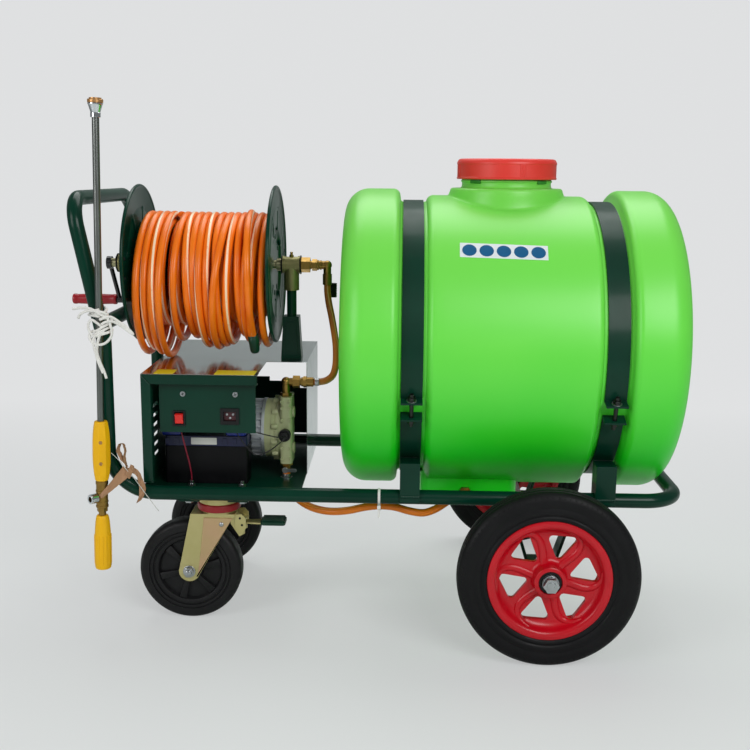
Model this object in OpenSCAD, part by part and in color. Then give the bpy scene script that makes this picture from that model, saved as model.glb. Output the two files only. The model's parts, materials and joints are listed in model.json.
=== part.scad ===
// Wheeled orchard sprayer cart: a tube frame with a strapped tank, a pump box, a hose reel and a lance.
// +X points to the front of the cart, +Z up. The origin lies on the floor under the middle of the cart.

/* [Frame] */
// Outer diameter of the frame tube
tube_d = 28; // [25:1:30]
// Half the distance between the centre lines of the two rails
rail_y = 208; // [204:1:214]
// Centre line of the front bar, ahead of the tank's front end
front_gap = 6; // [2:0.5:12]
// Bend radius of the two front corners
front_r = 70; // [60:1:90]
// Centre lines of the uprights, ahead of the middle
upright_x = -486; // [-489:1:-483]
// Bend radius between a rail and its upright
rear_r = 90; // [80:1:95]
// Height of the kink in the uprights above the rails
kink_h = 300.5; // [292:0.5:304]
// Height of the handle bar above the rails
handle_h = 560.5; // [556:0.5:575]
// How far the uprights lean back above the kink, in degrees
handle_lean = 11.5; // [10.5:0.5:12.5]
// Bend radius of the two handle corners
handle_r = 55; // [45:1:65]
// Height of the brace bar above the rails
brace_h = 326; // [322:1:330]
// Width of the flat cross bars over the casters
crossbar_w = 40; // [30:1:45]
// Thickness of the flat cross bars
crossbar_t = 15; // [12:1:16]

/* [Front wheels] */
// Diameter of the tyres
wheel_d = 336; // [326:1:344]
// Width of the tyres
wheel_w = 52; // [46:1:54]
// Outer diameter of the spoked rims
rim_d = 228; // [216:1:240]
// Front axle, ahead of the middle
wheel_x = 349.5; // [341:0.5:357]
// Middle of each tyre from the centre plane
wheel_y = 325; // [315:1:330]
// Number of windows between the swept spokes of a rim
spoke_count = 6; // [4:1:7]
// Width of the raised rib on a spoke
rib_w = 9; // [6:0.5:12]
// Thickness of the pressed web with the windows
web_t = 8; // [5:0.5:10]
// Diameter of the fixed axle
axle_d = 16; // [14:1:20]
// Diameter of the hub
hub_d = 58; // [52:1:64]

/* [Casters] */
// Diameter of the caster wheels
caster_d = 206; // [198:1:210]
// Width of the caster wheels
caster_w = 45; // [38:1:48]
// Swivel axes, ahead of the middle
caster_x = -285.5; // [-293:0.5:-279]
// Swivel axes from the centre plane
caster_y = 143; // [134:1:145]
// How far a caster wheel trails its swivel axis
trail = 58; // [48:1:60]
// Length of the caster top plate
plate_l = 135; // [125:1:145]
// Width of the caster top plate
plate_w = 95; // [85:1:98]
// Thickness of the caster top plate
plate_t = 4; // [3:0.5:6]
// Thickness of the fork's steel
fork_t = 4; // [3:0.5:5]
// Diameter of the red seal ring under the plate
seal_d = 86; // [78:1:90]
// Height of the seal ring
seal_h = 16; // [12:1:18]
// Length of the brake pedal beyond its pivot
pedal_l = 90; // [80:1:95]

/* [Tank] */
// Diameter over the end lobes
tank_d = 600; // [590:1:606]
// How far the lobes stand out from the middle
mid_step = 12; // [9:0.5:15]
// Depth of the strap grooves under the lobes
groove_depth = 26.3; // [24:0.1:30]
// Rounding of the outer edge of an end lobe
lobe_r = 47; // [40:1:60]
// Length over the domed ends
tank_l = 656; // [650:1:662]
// Rear end of the tank, ahead of the cart's middle
tank_back = -47.5; // [-50:0.5:-44]
// How far the end lobes reach down below the rails' centre lines
tank_sink = 18.5; // [14:0.5:21]
// Wall thickness of the tank
tank_wall = 5; // [4:0.5:7]
// Width of a strap groove
groove_w = 52; // [46:1:60]
// Middle of a strap from the tank's end
strap_in_l = 142; // [136:1:146]
// Width of the straps
strap_w = 40; // [32:1:42]
// Thickness of the straps
strap_t = 4; // [3:0.5:5]
// Outer diameter of the neck
neck_d = 177; // [170:1:184]
// Diameter of the boss round the neck
boss_d = 225; // [215:1:240]
// Diameter of the screw cap
cap_d = 200; // [194:1:206]
// Height of the screw cap
cap_h = 40; // [34:1:46]
// Depth of the strainer basket
basket_h = 110; // [80:1:130]
// Length of the sump under the tank
sump_l = 193; // [170:1:196]
// Width of the sump
sump_w = 260; // [240:1:280]
// Gap between the rear strap and the sump
sump_gap = 2; // [1:0.5:6]

/* [Pump box] */
// Length of the box
box_l = 304; // [300:1:308]
// Rear wall of the box, ahead of the middle
box_x = -420.5; // [-422:0.5:-417]
// Width of the box
box_w = 410; // [406:1:414]
// Height of the box above the rails' centre lines
box_h = 233.5; // [230:0.5:240]
// Thickness of the casing's sheet
sheet_t = 1.5; // [1:0.1:2.5]
// Width of the painted border round the open side
border = 19; // [14:1:22]
// Height of the control panel
panel_h = 97; // [88:1:104]
// Depth of the control panel behind the border
panel_in = 15; // [10:1:18]
// Number of louvre slots in the rear wall
louvre_count = 6; // [3:1:7]
// Pitch of the louvre slots
louvre_pitch = 20; // [16:0.5:22]
// Length of the battery
battery_l = 165; // [150:1:170]
// Width of the battery
battery_w = 50; // [44:1:52]
// Height of the battery with its lid
battery_h = 97; // [85:1:105]
// Diameter of the motor over its ribs
motor_d = 88; // [80:1:89]
// Diameter of the pump casing
pump_d = 120; // [112:1:124]

/* [Reel] */
// Height of the reel's axis above the box
reel_rise = 192; // [190:1:196]
// Diameter of the flanges
flange_d = 320; // [310:1:330]
// Rear flange, ahead of the middle
flange_x = -457.5; // [-461:0.5:-455]
// Distance between the flanges
reel_l = 268.5; // [264:0.5:270]
// Diameter of the steel drum
drum_d = 90; // [70:1:110]
// Diameter of the reel's axle
spindle_d = 18; // [15:1:20]
// Length of the crank arm between its centres
crank_l = 106; // [95:1:107]
// Diameter of the crank's grip
grip_d = 22; // [18:1:24]
// Length of the crank's grip
grip_l = 95; // [80:1:98]
// Diameter of the spray hose
hose_d = 14; // [12:0.5:14]
// Radius of the outer layer at its top
wind_r = 99; // [94:1:102]
// Turns in the outer layer
wind_turns = 12; // [8:1:12]
// Slack turns that hang beside the winding
slack_turns = 4; // [2:1:4]

/* [Lance] */
// Diameter of the lance tube
lance_d = 13; // [11:0.5:14]
// Length of the lance tube
lance_l = 556; // [500:1:570]
// Diameter of the lance grips
lance_grip_d = 33; // [28:1:34]
// Length of the front grip
front_grip_l = 116; // [105:1:125]
// Length of the rear grip
rear_grip_l = 108; // [96:1:114]
// How far the lance leans, in degrees
lance_lean = 1.4; // [0.8:0.1:1.8]

/* [Hidden] */
$fn = 64;

frame_green = "#0a3b28";
zinc = "#b9a56b";
brass = "#b08a3e";
steel = "#8a8f8b";
black = "#18181a";
red = "#c41428";
yellow = "#f0b40c";
hose_orange = "#f29a2a";
tank_green = "#76e157";

seat = 0.3;         // gap between a curved piece and its seat
run = 0.05;         // radial clearance of a running fit
side_run = 0.3;     // end play of a running fit
tube_r = tube_d / 2;

// Caster heights, from the floor up
crown_z = caster_d + 13;
crown_top = crown_z + fork_t + 1;
race_h = 4.7;
seal_z = crown_top + race_h + side_run;
head_h = 12;
plate_z = seal_z + seal_h + head_h;
crossbar_z = plate_z + plate_t;
floor_z = crossbar_z + crossbar_t;
crossbar_sink = 10;                          // the cross bars lie this far under the rails' centre lines
rail_z = crossbar_z + crossbar_t / 2 + crossbar_sink;
rail_top = rail_z + tube_r;

kink_z = rail_z + kink_h;
kink_r = 120;
kink_back = round(10 * kink_r * tan(handle_lean / 2)) / 10;   // tube that the kink takes on either side
handle_z = rail_z + handle_h;
brace_z = rail_z + brace_h;

axle_z = wheel_d / 2;
tank_r = tank_d / 2;
tank_z = rail_z + tank_r - tank_sink;
mid_r = tank_r - mid_step;
groove_r = tank_r - groove_depth;
tank_x = tank_back + tank_l / 2;
strap_x = tank_l / 2 - strap_in_l;
front_x = tank_back + tank_l + front_gap;
strap_in = groove_r + seat;
strap_out = strap_in + strap_t;
neck_r = neck_d / 2;

box_front_x = box_x + box_l;
box_top = rail_z + box_h;
box_near = -box_w / 2;
floor_t = 3;
inside_z = floor_z + floor_t;
reel_z = box_top + reel_rise;
reel_end = flange_x + reel_l;
spindle_r = spindle_d / 2;

// Centre line of the uprights and of the handle bar, above the kink
function lean_x(z) = upright_x - (z - kink_z) * tan(handle_lean);

// ---------- Shared shapes ----------

function unit(v) = v / norm(v);

// Any vector square to v
function across(v) = unit(cross(v, abs(v.z) < 0.9 * norm(v) ? [0, 0, 1] : [1, 0, 0]));

// Turns +X, +Y and +Z to the three given directions and moves the origin to p
module placed(p, ex, ey, ez) {
    multmatrix([[ex.x, ey.x, ez.x, p.x],
                [ex.y, ey.y, ez.y, p.y],
                [ex.z, ey.z, ez.z, p.z],
                [0, 0, 0, 1]])
        children();
}

// A round bar from p to q
module rod(p, q, r) {
    ez = unit(q - p);
    ex = across(ez);
    placed(p, ex, cross(ez, ex), ez) cylinder(r = r, h = norm(q - p));
}

// Turn at corner b of the path a, b, c
function turn(a, b, c) = acos(unit(b - a) * unit(c - b));
function setback(a, b, c, bend_r) = bend_r * tan(turn(a, b, c) / 2);

// A bent tube through the points, with one bend radius for each inner point
module bent_tube(points, radii, r) {
    last = len(points) - 1;
    for (i = [1:last - 1]) {
        u = unit(points[i] - points[i - 1]);
        v = unit(points[i + 1] - points[i]);
        n = unit(v - (u * v) * u);
        back = setback(points[i - 1], points[i], points[i + 1], radii[i - 1]);
        placed(points[i] - u * back + n * radii[i - 1], -n, u, cross(u, n))
            rotate_extrude(angle = acos(u * v)) translate([radii[i - 1], 0]) circle(r);
    }
    for (i = [0:last - 1]) {
        u = unit(points[i + 1] - points[i]);
        from = i == 0 ? 0 : setback(points[i - 1], points[i], points[i + 1], radii[i - 1]);
        upto = i == last - 1 ? 0 : setback(points[i], points[i + 1], points[i + 2], radii[i]);
        rod(points[i] + u * from, points[i + 1] - u * upto, r);
    }
}

// A swept tube whose rings lie on the points of a route
function route_dir(p, i) = unit(p[min(i + 1, len(p) - 1)] - p[max(i - 1, 0)]);
module swept_tube(points, r, sides = 8) {
    count = len(points);
    rings = [for (i = [0:count - 1])
                 let (d = route_dir(points, i), a = unit(cross(d, [0.13, 1, 0.07])), b = cross(d, a))
                 for (k = [0:sides - 1])
                     points[i] + r * (cos(360 * k / sides) * a + sin(360 * k / sides) * b)];
    walls = [for (i = [0:count - 2])
                 for (k = [0:sides - 1])
                     let (k2 = (k + 1) % sides, a = i * sides + k, b = i * sides + k2,
                          c = a + sides, d = b + sides)
                     for (f = [[a, d, b], [a, c, d]]) f];
    near_end = [for (k = [1:sides - 2]) [0, k, k + 1]];
    far_base = (count - 1) * sides;
    far_end = [for (k = [1:sides - 2]) [far_base, far_base + k + 1, far_base + k]];
    polyhedron(points = rings, faces = concat(walls, near_end, far_end));
}

// A rectangle with round corners, centred
module round_rect(w, h, r) {
    square([w - 2 * r, h], center = true);
    square([w, h - 2 * r], center = true);
    for (x = [-1, 1])
        for (y = [-1, 1])
            translate([x * (w / 2 - r), y * (h / 2 - r)]) circle(r);
}

// A round bar along X from x0 to x1
module bar_x(x0, x1, r) {
    translate([x0, 0, 0]) rotate([0, 90, 0]) cylinder(r = r, h = x1 - x0);
}

// A round bar along Y from y0 to y1
module bar_y(y0, y1, r) {
    translate([0, y0, 0]) rotate([-90, 0, 0]) cylinder(r = r, h = y1 - y0);
}

// A hexagonal bar of the given width across flats, along +Z
module hex_bar(flats, h) {
    cylinder(r = flats / sqrt(3), h = h, $fn = 6);
}

module box_between(low, high) {
    translate(low) cube(high - low);
}

// ---------- Frame ----------

frame_half = [[front_x, 0, rail_z], [front_x, -rail_y, rail_z], [upright_x, -rail_y, rail_z],
              [upright_x, -rail_y, kink_z - kink_back]];

// Pieces that meet in the leaning part stop short of each other inside a ball a hair thicker than the tube
bead = 0.05;
bead_gap = 0.4;

// The hoop with the handle bar, standing upright on the two kinks
module hoop() {
    h = (handle_z - kink_z) / cos(handle_lean) - kink_back;
    span = rail_y - handle_r;
    for (side = [0, 1])
        mirror([0, side, 0]) {
            translate([0, -rail_y, bead_gap]) cylinder(r = tube_r, h = h - handle_r - 2 * bead_gap);
            for (p = [[0, -rail_y, 0], [0, -rail_y, h - handle_r], [0, -span, h]])
                translate(p) sphere(tube_r + bead);
            translate([0, -span, h - handle_r]) rotate([0, -90, 0]) mirror([0, 1, 0]) rotate(bead_gap)
                rotate_extrude(angle = 90 - 2 * bead_gap) translate([handle_r, 0]) circle(tube_r);
        }
    translate([0, 0, h]) bar_y(bead_gap - span, span - bead_gap, tube_r);
}

module frame_tube() color(frame_green) {
    for (side = [0, 1])
        mirror([0, side, 0]) {
            bent_tube(frame_half, [front_r, rear_r], tube_r);
            translate([upright_x - kink_r, -rail_y, kink_z - kink_back]) rotate([90, 0, 0])
                rotate_extrude(angle = handle_lean - bead_gap / 2) translate([kink_r, 0]) circle(tube_r);
        }
    translate([upright_x - kink_r, 0, kink_z - kink_back]) rotate([0, -handle_lean, 0])
        translate([kink_r, 0, 0]) hoop();
}

// The room that the two straight rails take, with a seat's gap
module rail_room() {
    for (side = [-1, 1])
        translate([0, side * rail_y, rail_z]) bar_x(upright_x + rear_r, front_x - front_r, tube_r + seat);
}

crossbar_off = plate_l / 2 - crossbar_w / 2;
module crossbars() color(frame_green) {
    for (side = [-1, 1])
        difference() {
            translate([caster_x + side * crossbar_off, 0, crossbar_z + crossbar_t / 2])
                cube([crossbar_w, 2 * rail_y, crossbar_t], center = true);
            rail_room();
            caster_bolt_room();
        }
}

neck_bar_r = 10;
module handle_brace() color(frame_green) {
    difference() {
        union() {
            translate([lean_x(brace_z), 0, brace_z]) bar_y(-rail_y, rail_y, tube_r);
            rod([lean_x(brace_z), 0, brace_z], [lean_x(brace_z), 0, socket_z + socket_in], neck_bar_r);
        }
        for (side = [-1, 1])
            rod([upright_x, side * rail_y, kink_z], [lean_x(handle_z), side * rail_y, handle_z], tube_r + seat);
    }
}

bracket_w = 40;
bracket_t = 5;
bracket_foot = 29;      // half the length of a bracket's foot
bracket_head = 62;      // half the spread of a bracket's arms at the rail
module axle_brackets() color(frame_green) {
    low = axle_z - axle_d / 2 - seat - bracket_t;
    top = rail_z;
    difference() {
        for (side = [-1, 1])
            translate([wheel_x, side * rail_y + bracket_w / 2, 0]) rotate([90, 0, 0])
                linear_extrude(bracket_w)
                    difference() {
                        polygon([[-bracket_foot, low], [bracket_foot, low],
                                 [bracket_head + bracket_t, top], [-bracket_head - bracket_t, top]]);
                        polygon([[-bracket_foot + bracket_t, low + bracket_t], [bracket_foot - bracket_t, low + bracket_t],
                                 [bracket_head, top + 1], [-bracket_head, top + 1]]);
                    }
        rail_room();
    }
}

hub_half = wheel_w / 2 + 5;
nut_h = 13;
washer_t = 2.7;
axle_end = wheel_y + hub_half + side_run + washer_t + nut_h + 1;
collar_t = 6;
module front_axle() color(steel) {
    translate([wheel_x, 0, axle_z]) {
        bar_y(-axle_end, axle_end, axle_d / 2);
        for (side = [0, 1])
            mirror([0, side, 0])
                bar_y(wheel_y - hub_half - side_run - collar_t, wheel_y - hub_half - side_run, axle_d / 2 + 6);
    }
}

// ---------- Front wheels ----------

rim_r = rim_d / 2;
hub_r = hub_d / 2;
recess_r = 21;
recess_h = 9;
barrel_t = 4;           // wall of the rim under the tyre
flange_h = 5;           // height of the rolled edge
window_r = 80;          // outer edge of the windows
window_in = 38;         // inner edge of the windows
corner_r = 7;           // rounding of the windows' corners
window_turn = 13;       // first window, in degrees from straight ahead

// A triangle with round corners; its corner centres run anticlockwise
module round_triangle(p, r) {
    for (c = p) translate(c) circle(r);
    out = [for (i = [0:2]) let (d = unit(p[(i + 1) % 3] - p[i])) [d.y, -d.x] * r];
    polygon([for (i = [0:2]) each [p[i] + out[i], p[(i + 1) % 3] + out[i]]]);
}

function polar(r, a) = [r * cos(a), r * sin(a)];

// One swept rib: a stretch of a ring whose circle passes through the hub
module swept_rib(w, sweep_r) {
    intersection() {
        translate([0, -sweep_r]) difference() {
            circle(sweep_r + w / 2);
            circle(sweep_r - w / 2);
        }
        translate([0, -rim_r]) square([rim_r, 2 * rim_r]);
    }
}

module rim() {
    half = wheel_w / 2 - 2;
    bed_r = rim_r - seat - barrel_t;
    spread = 180 / spoke_count - 13;
    difference() {
        union() {
            rotate([90, 0, 0]) {
                translate([0, 0, -web_t / 2]) linear_extrude(web_t) difference() {
                    circle(bed_r + 1);
                    for (i = [0:spoke_count - 1]) rotate(i * 360 / spoke_count + window_turn)
                        round_triangle([[window_in + corner_r, 0], polar(window_r - corner_r, -spread),
                                        polar(window_r - corner_r, spread)], corner_r);
                }
                translate([0, 0, -web_t / 2 - 4]) linear_extrude(web_t + 8) intersection() {
                    circle(bed_r + 1);
                    for (i = [0:spoke_count - 1]) rotate((i + 0.5) * 360 / spoke_count + window_turn + 12)
                        swept_rib(rib_w, rim_r * 0.85);
                }
                // the rim's bed with its rolled edges and the cones that stiffen it
                rotate_extrude() {
                    translate([bed_r, -half]) square([barrel_t, 2 * half]);
                    for (s = [0, 1]) mirror([0, s]) {
                        translate([bed_r - flange_h, half - 4]) square([flange_h + 1, 4]);
                        polygon([[bed_r - 16, web_t / 2 - 1], [bed_r + 1, web_t / 2 - 1], [bed_r + 1, half - 6],
                                 [bed_r - 1, half - 6]]);
                    }
                }
            }
            bar_y(-hub_half, hub_half, hub_r);
        }
        bar_y(-hub_half - 1, hub_half + 1, axle_d / 2 + run);
        for (side = [0, 1]) mirror([0, side, 0]) bar_y(hub_half - recess_h, hub_half + 1, recess_r);
    }
    // bearing sleeve that the nut and the collar bear on
    difference() {
        bar_y(-hub_half, hub_half, axle_d / 2 + 4);
        bar_y(-hub_half - 1, hub_half + 1, axle_d / 2 + run);
        bar_y(-hub_half + recess_h, hub_half - recess_h, axle_d / 2 + 5);
    }
}

tyre_r = 18;            // rounding of the tyre's shoulders
module tyre() {
    h = wheel_d / 2 - rim_r;
    rotate([90, 0, 0]) rotate_extrude() difference() {
        intersection() {
            translate([rim_r, -wheel_w / 2]) square([h, wheel_w]);
            union() {
                translate([rim_r, -wheel_w / 2]) square([h - tyre_r, wheel_w]);
                translate([rim_r, -wheel_w / 2 + tyre_r]) square([h, wheel_w - 2 * tyre_r]);
                for (s = [-1, 1]) translate([wheel_d / 2 - tyre_r, s * (wheel_w / 2 - tyre_r)]) circle(tyre_r);
            }
        }
        for (s = [-1, 1], g = [0.2, 0.5]) translate([rim_r + g * (h - tyre_r) + 4, s * wheel_w / 2]) circle(1.6);
    }
}

module at_wheel(side) {
    translate([wheel_x, side * wheel_y, axle_z]) children();
}

module rim_near() color(red) at_wheel(-1) rim();
module rim_far() color(red) at_wheel(1) mirror([0, 1, 0]) rim();
module tyre_near() color(black) at_wheel(-1) tyre();
module tyre_far() color(black) at_wheel(1) tyre();

// ---------- Casters ----------

kingpin_r = 6;
bolt_r = 5;
bolt_in_x = plate_l / 2 - 15;
bolt_in_y = plate_w / 2 - 11;
caster_axle_z = caster_d / 2;
fork_in = caster_w / 2 + 3;
fork_out = fork_in + fork_t;
fork_end_r = 21;
fork_back = -53;
fork_front = 35;
caster_pin_r = 6;

module at_casters() {
    for (side = [-1, 1]) translate([caster_x, side * caster_y, 0]) children();
}

module caster_bolt_places() {
    at_casters()
        for (x = [-1, 1], y = [-1, 1]) translate([x * bolt_in_x, y * bolt_in_y, 0]) children();
}

module caster_bolt_room() {
    caster_bolt_places() translate([0, 0, plate_z - 1]) cylinder(r = bolt_r + seat, h = plate_t + crossbar_t + 2);
}

module caster_plates() color(zinc) {
    difference() {
        at_casters() {
            translate([0, 0, plate_z]) linear_extrude(plate_t) round_rect(plate_l, plate_w, 8);
            translate([0, 0, seal_z + seal_h]) cylinder(r = seal_d / 2 - 3, h = head_h);
            translate([0, 0, crown_z - 8]) cylinder(r = kingpin_r, h = plate_z - crown_z + 8);
            translate([0, 0, crown_z - side_run - 8]) hex_bar(19, 8);
        }
        caster_bolt_room();
    }
}

module caster_seals() color(red) {
    at_casters()
        translate([0, 0, seal_z]) rotate_extrude() {
            translate([kingpin_r + seat, 0]) square([seal_d / 2 - kingpin_r - seat - 4, seal_h]);
            translate([kingpin_r + seat, 4]) square([seal_d / 2 - kingpin_r - seat, seal_h - 8]);
            for (z = [4, seal_h - 4]) translate([seal_d / 2 - 4, z]) circle(4);
        }
}

// Where the straight edges of a leg leave its round end: tangent point from p to a circle
function tangent(p, c, r, s) =
    let (v = c - p, d = norm(v), a = s * acos(r / d), w = -v / d)
    c + r * [w.x * cos(a) - w.y * sin(a), w.x * sin(a) + w.y * cos(a)];

module fork_leg() {
    c = [-trail, caster_axle_z];
    p = [fork_back, crown_top];
    q = [fork_front, crown_top];
    r = fork_end_r - 0.3;
    polygon([q, p, tangent(p, c, r, 1), c, tangent(q, c, r, -1)]);
    translate(c) circle(fork_end_r);
}

brake_x = 44;           // brake pivot ahead of the swivel axis
brake_z = crown_z - 18;
brake_pin_r = 4;
ear_in = 16;            // inner half width between the brake's ears
ear_t = 3;

module fork() color(zinc) {
    difference() {
        union() {
            for (side = [-1, 1])
                translate([0, side * (fork_in + fork_t / 2) + fork_t / 2, 0]) rotate([90, 0, 0])
                    linear_extrude(fork_t) fork_leg();
            box_between([fork_back, -fork_out, crown_z], [fork_front, fork_out, crown_top]);
            translate([0, 0, crown_top]) cylinder(r = seal_d / 2 - 9, h = race_h);
            // ears that carry the brake
            for (side = [-1, 1])
                translate([0, side * (ear_in + ear_t / 2) + ear_t / 2, 0]) rotate([90, 0, 0]) linear_extrude(ear_t) {
                    translate([brake_x, brake_z]) circle(9);
                    polygon([[fork_front, crown_top], [fork_front - 12, crown_top], [fork_front - 10, crown_z - 18],
                             [brake_x - 2, brake_z - 26], [brake_x + 9, brake_z - 20], [brake_x + 9, brake_z]]);
                }
        }
        translate([0, 0, crown_z - 1]) cylinder(r = kingpin_r + run, h = fork_t + race_h + 3);
    }
    // axle bolt with its head and nut
    translate([-trail, 0, caster_axle_z]) {
        bar_y(-fork_in - fork_t / 2, fork_in + fork_t / 2, caster_pin_r);
        for (side = [0, 1]) mirror([0, side, 0]) translate([0, fork_out, 0]) rotate([-90, 0, 0]) {
            cylinder(r = 12, h = 1.5);
            translate([0, 0, 1.5]) hex_bar(18, 8);
            cylinder(r = caster_pin_r, h = 15);
        }
    }
    translate([brake_x, 0, brake_z]) bar_y(-ear_in - ear_t - 2, ear_in + ear_t + 2, brake_pin_r);
}

module caster_wheel() color(black) {
    r = caster_d / 2;
    translate([-trail, 0, caster_axle_z]) difference() {
        rotate([90, 0, 0]) rotate_extrude() {
            difference() {
                union() {
                    translate([r * 0.68, -caster_w / 2]) square([r * 0.32 - 12, caster_w]);
                    translate([r * 0.68, -caster_w / 2 + 12]) square([r * 0.32, caster_w - 24]);
                    for (s = [-1, 1]) translate([r - 12, s * (caster_w / 2 - 12)]) circle(12);
                }
                for (s = [-1, 1]) translate([r * 0.8, s * caster_w / 2]) circle(1.5);
            }
            translate([15, -caster_w / 2 + 12]) square([r * 0.68 - 14, caster_w - 24]);
            translate([r * 0.62, -caster_w / 2 + 4]) square([r * 0.07, caster_w - 8]);
            translate([caster_pin_r + run, -caster_w / 2 - 2.5]) square([13, caster_w + 5]);
        }
        // hollows between the ribs of the hub, on both sides
        for (i = [0:5]) rotate([0, i * 60 + 30, 0])
            for (s = [-1, 1]) translate([r * 0.42, s * (caster_w / 2 - 10), 0]) bar_y(-4, 4, r * 0.15);
    }
}

pedal_t = 8;
pedal_w = 40;
module brake() color(frame_green) {
    translate([brake_x, 0, brake_z]) difference() {
        union() {
            bar_y(-ear_in + side_run, ear_in - side_run, 9);
            box_between([0, -9, -3], [pedal_l - 45, 9, 4]);
            translate([pedal_l - 25, 0, 0]) linear_extrude(pedal_t) round_rect(50, pedal_w, 8);
        }
        bar_y(-ear_in, ear_in, brake_pin_r + run);
    }
}

module at_caster(side) {
    translate([caster_x, side * caster_y, 0]) children();
}

module fork_near() at_caster(-1) fork();
module fork_far() at_caster(1) fork();
module caster_wheel_near() at_caster(-1) caster_wheel();
module caster_wheel_far() at_caster(1) caster_wheel();
module brake_near() at_caster(-1) brake();
module brake_far() at_caster(1) brake();

// ---------- Tank ----------

shoulder_r = 14;        // rounding of the inner edges beside the grooves
end_dome = 7;
groove_fillet = 5;

// Half of the tank's outline, moved in by d; x is the radius, y runs along the tank
module tank_outline(d) {
    half = tank_l / 2 - end_dome;
    lobe_y = strap_x + groove_w / 2 + d;
    mid_y = strap_x - groove_w / 2 - d;
    flat_r = tank_r - lobe_r;
    dome_r = (flat_r * flat_r + end_dome * end_dome) / (2 * end_dome);
    square([groove_r - d, lobe_y]);
    square([mid_r - d - shoulder_r, mid_y]);
    square([mid_r - d, mid_y - shoulder_r]);
    translate([mid_r - d - shoulder_r, mid_y - shoulder_r]) circle(shoulder_r);
    translate([0, lobe_y]) square([tank_r - d - shoulder_r, half - lobe_r - lobe_y]);
    translate([0, lobe_y + shoulder_r]) square([tank_r - d, half - lobe_r - lobe_y - shoulder_r]);
    translate([tank_r - d - shoulder_r, lobe_y + shoulder_r]) circle(shoulder_r);
    translate([0, lobe_y]) square([flat_r, half - d - lobe_y]);
    translate([flat_r, half - lobe_r]) intersection() {
        circle(lobe_r - d);
        square(lobe_r);
    }
    intersection() {
        translate([0, half + end_dome - dome_r]) circle(dome_r - d, $fn = 360);
        translate([0, half - d - 1]) square([flat_r, end_dome + 2]);
    }
}

module tank_body(d) {
    rotate([0, 90, 0]) for (side = [0, 1])
        mirror([0, 0, side]) rotate_extrude($fn = 128) intersection() {
            tank_outline(d);
            square([tank_r, tank_l]);
        }
}

boss_top = tank_z + mid_r + 15;
neck_top = boss_top + 44;
sump_x = tank_x - strap_x + strap_w / 2 + sump_gap + sump_l / 2;
sump_top = tank_z - sqrt(pow(mid_r - tank_wall, 2) - pow(sump_w / 2, 2)) + 10;
sump_z = rail_z - 29.5;
sump_corner = 22;
outlet_x = sump_x - 7;
outlet_z = sump_z + 14;
outlet_r = 9;

module tank_shell() color(tank_green) {
    w = tank_wall;
    difference() {
        union() {
            translate([tank_x, 0, tank_z]) tank_body(0);
            translate([tank_x, 0, tank_z]) cylinder(d = boss_d, h = boss_top - tank_z);
            translate([tank_x, 0, boss_top - 1]) cylinder(r = neck_r, h = neck_top - boss_top + 1);
            translate([sump_x, 0, sump_z]) linear_extrude(sump_top - sump_z)
                round_rect(sump_l, sump_w, sump_corner);
        }
        translate([tank_x, 0, tank_z]) tank_body(w);
        translate([tank_x, 0, tank_z]) cylinder(d = boss_d - 2 * w, h = boss_top - tank_z - w);
        translate([tank_x, 0, tank_z]) cylinder(r = neck_r - w, h = neck_top - tank_z + 1);
        translate([sump_x, 0, sump_z + w]) linear_extrude(sump_top - sump_z)
            round_rect(sump_l - 2 * w, sump_w - 2 * w, sump_corner - w);
        translate([outlet_x, 0, outlet_z]) bar_y(-sump_w / 2 - 1, -sump_w / 2 + w + 1, outlet_r - 3);
    }
}

elbow_y = -168;
module tank_outlet() color(brass) {
    difference() {
        union() {
            translate([outlet_x, 0, outlet_z]) {
                bar_y(elbow_y, -sump_w / 2, outlet_r);
                translate([0, -sump_w / 2, 0]) rotate([90, 0, 0]) hex_bar(26, 9);
            }
            translate([outlet_x, elbow_y, outlet_z]) sphere(r = outlet_r + 1.5);
            translate([0, elbow_y, outlet_z]) bar_x(suction_route[0].x, outlet_x, outlet_r - 0.5);
        }
        translate([outlet_x, 0, outlet_z]) bar_y(elbow_y, -sump_w / 2 + 1, outlet_r - 3);
    }
}

flange_t = 2.7;
basket_r = neck_r - tank_wall - 1.5;
basket_wall = 2;
basket_top = neck_top + side_run;
module strainer_basket() color("#d8d8d0") {
    translate([tank_x, 0, 0]) difference() {
        union() {
            translate([0, 0, basket_top]) cylinder(r = neck_r - 0.5, h = flange_t);
            translate([0, 0, basket_top - basket_h]) cylinder(r = basket_r, h = basket_h);
        }
        translate([0, 0, basket_top - basket_h + basket_wall]) cylinder(r = basket_r - basket_wall, h = basket_h + 5);
        for (i = [0:9]) rotate(i * 36)
            translate([basket_r, 0, basket_top - basket_h / 2]) cube([12, 8, basket_h - 40], center = true);
    }
}

cap_top = basket_top + flange_t + side_run + 10;
module tank_lid() color("#dd423d") {
    low = cap_top - cap_h;
    translate([tank_x, 0, 0]) rotate_extrude($fn = 96) difference() {
        union() {
            translate([0, low]) square([cap_d / 2, cap_h - 12]);
            translate([0, low]) square([cap_d / 2 - 4, cap_h]);
            translate([0, cap_top - 9]) square([cap_d / 2 - 1, 5]);
            translate([cap_d / 2 - 5, cap_top - 4]) circle(4);
        }
        translate([-1, low - 1]) square([neck_r + 1.5 + 1, cap_h - 10 + 1]);
        translate([-1, cap_top - 3]) square([cap_d / 2 - 22, 5]);
    }
}

// ---------- Straps ----------

lower_end = 68;         // end of the lower straps, in degrees from straight down
upper_end = 74;         // end of the upper straps
tab_l = 26;
hook_r = 4;
hook_off = 15;          // bolt axis outside the strap's inner face

// An arc of strap between two angles from straight down
module strap_arc(from, upto) {
    rotate([from, 0, 0]) rotate([0, 90, 0]) rotate_extrude(angle = upto - from, $fn = 128)
        translate([strap_in, -strap_w / 2]) square([strap_t, strap_w]);
}

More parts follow.
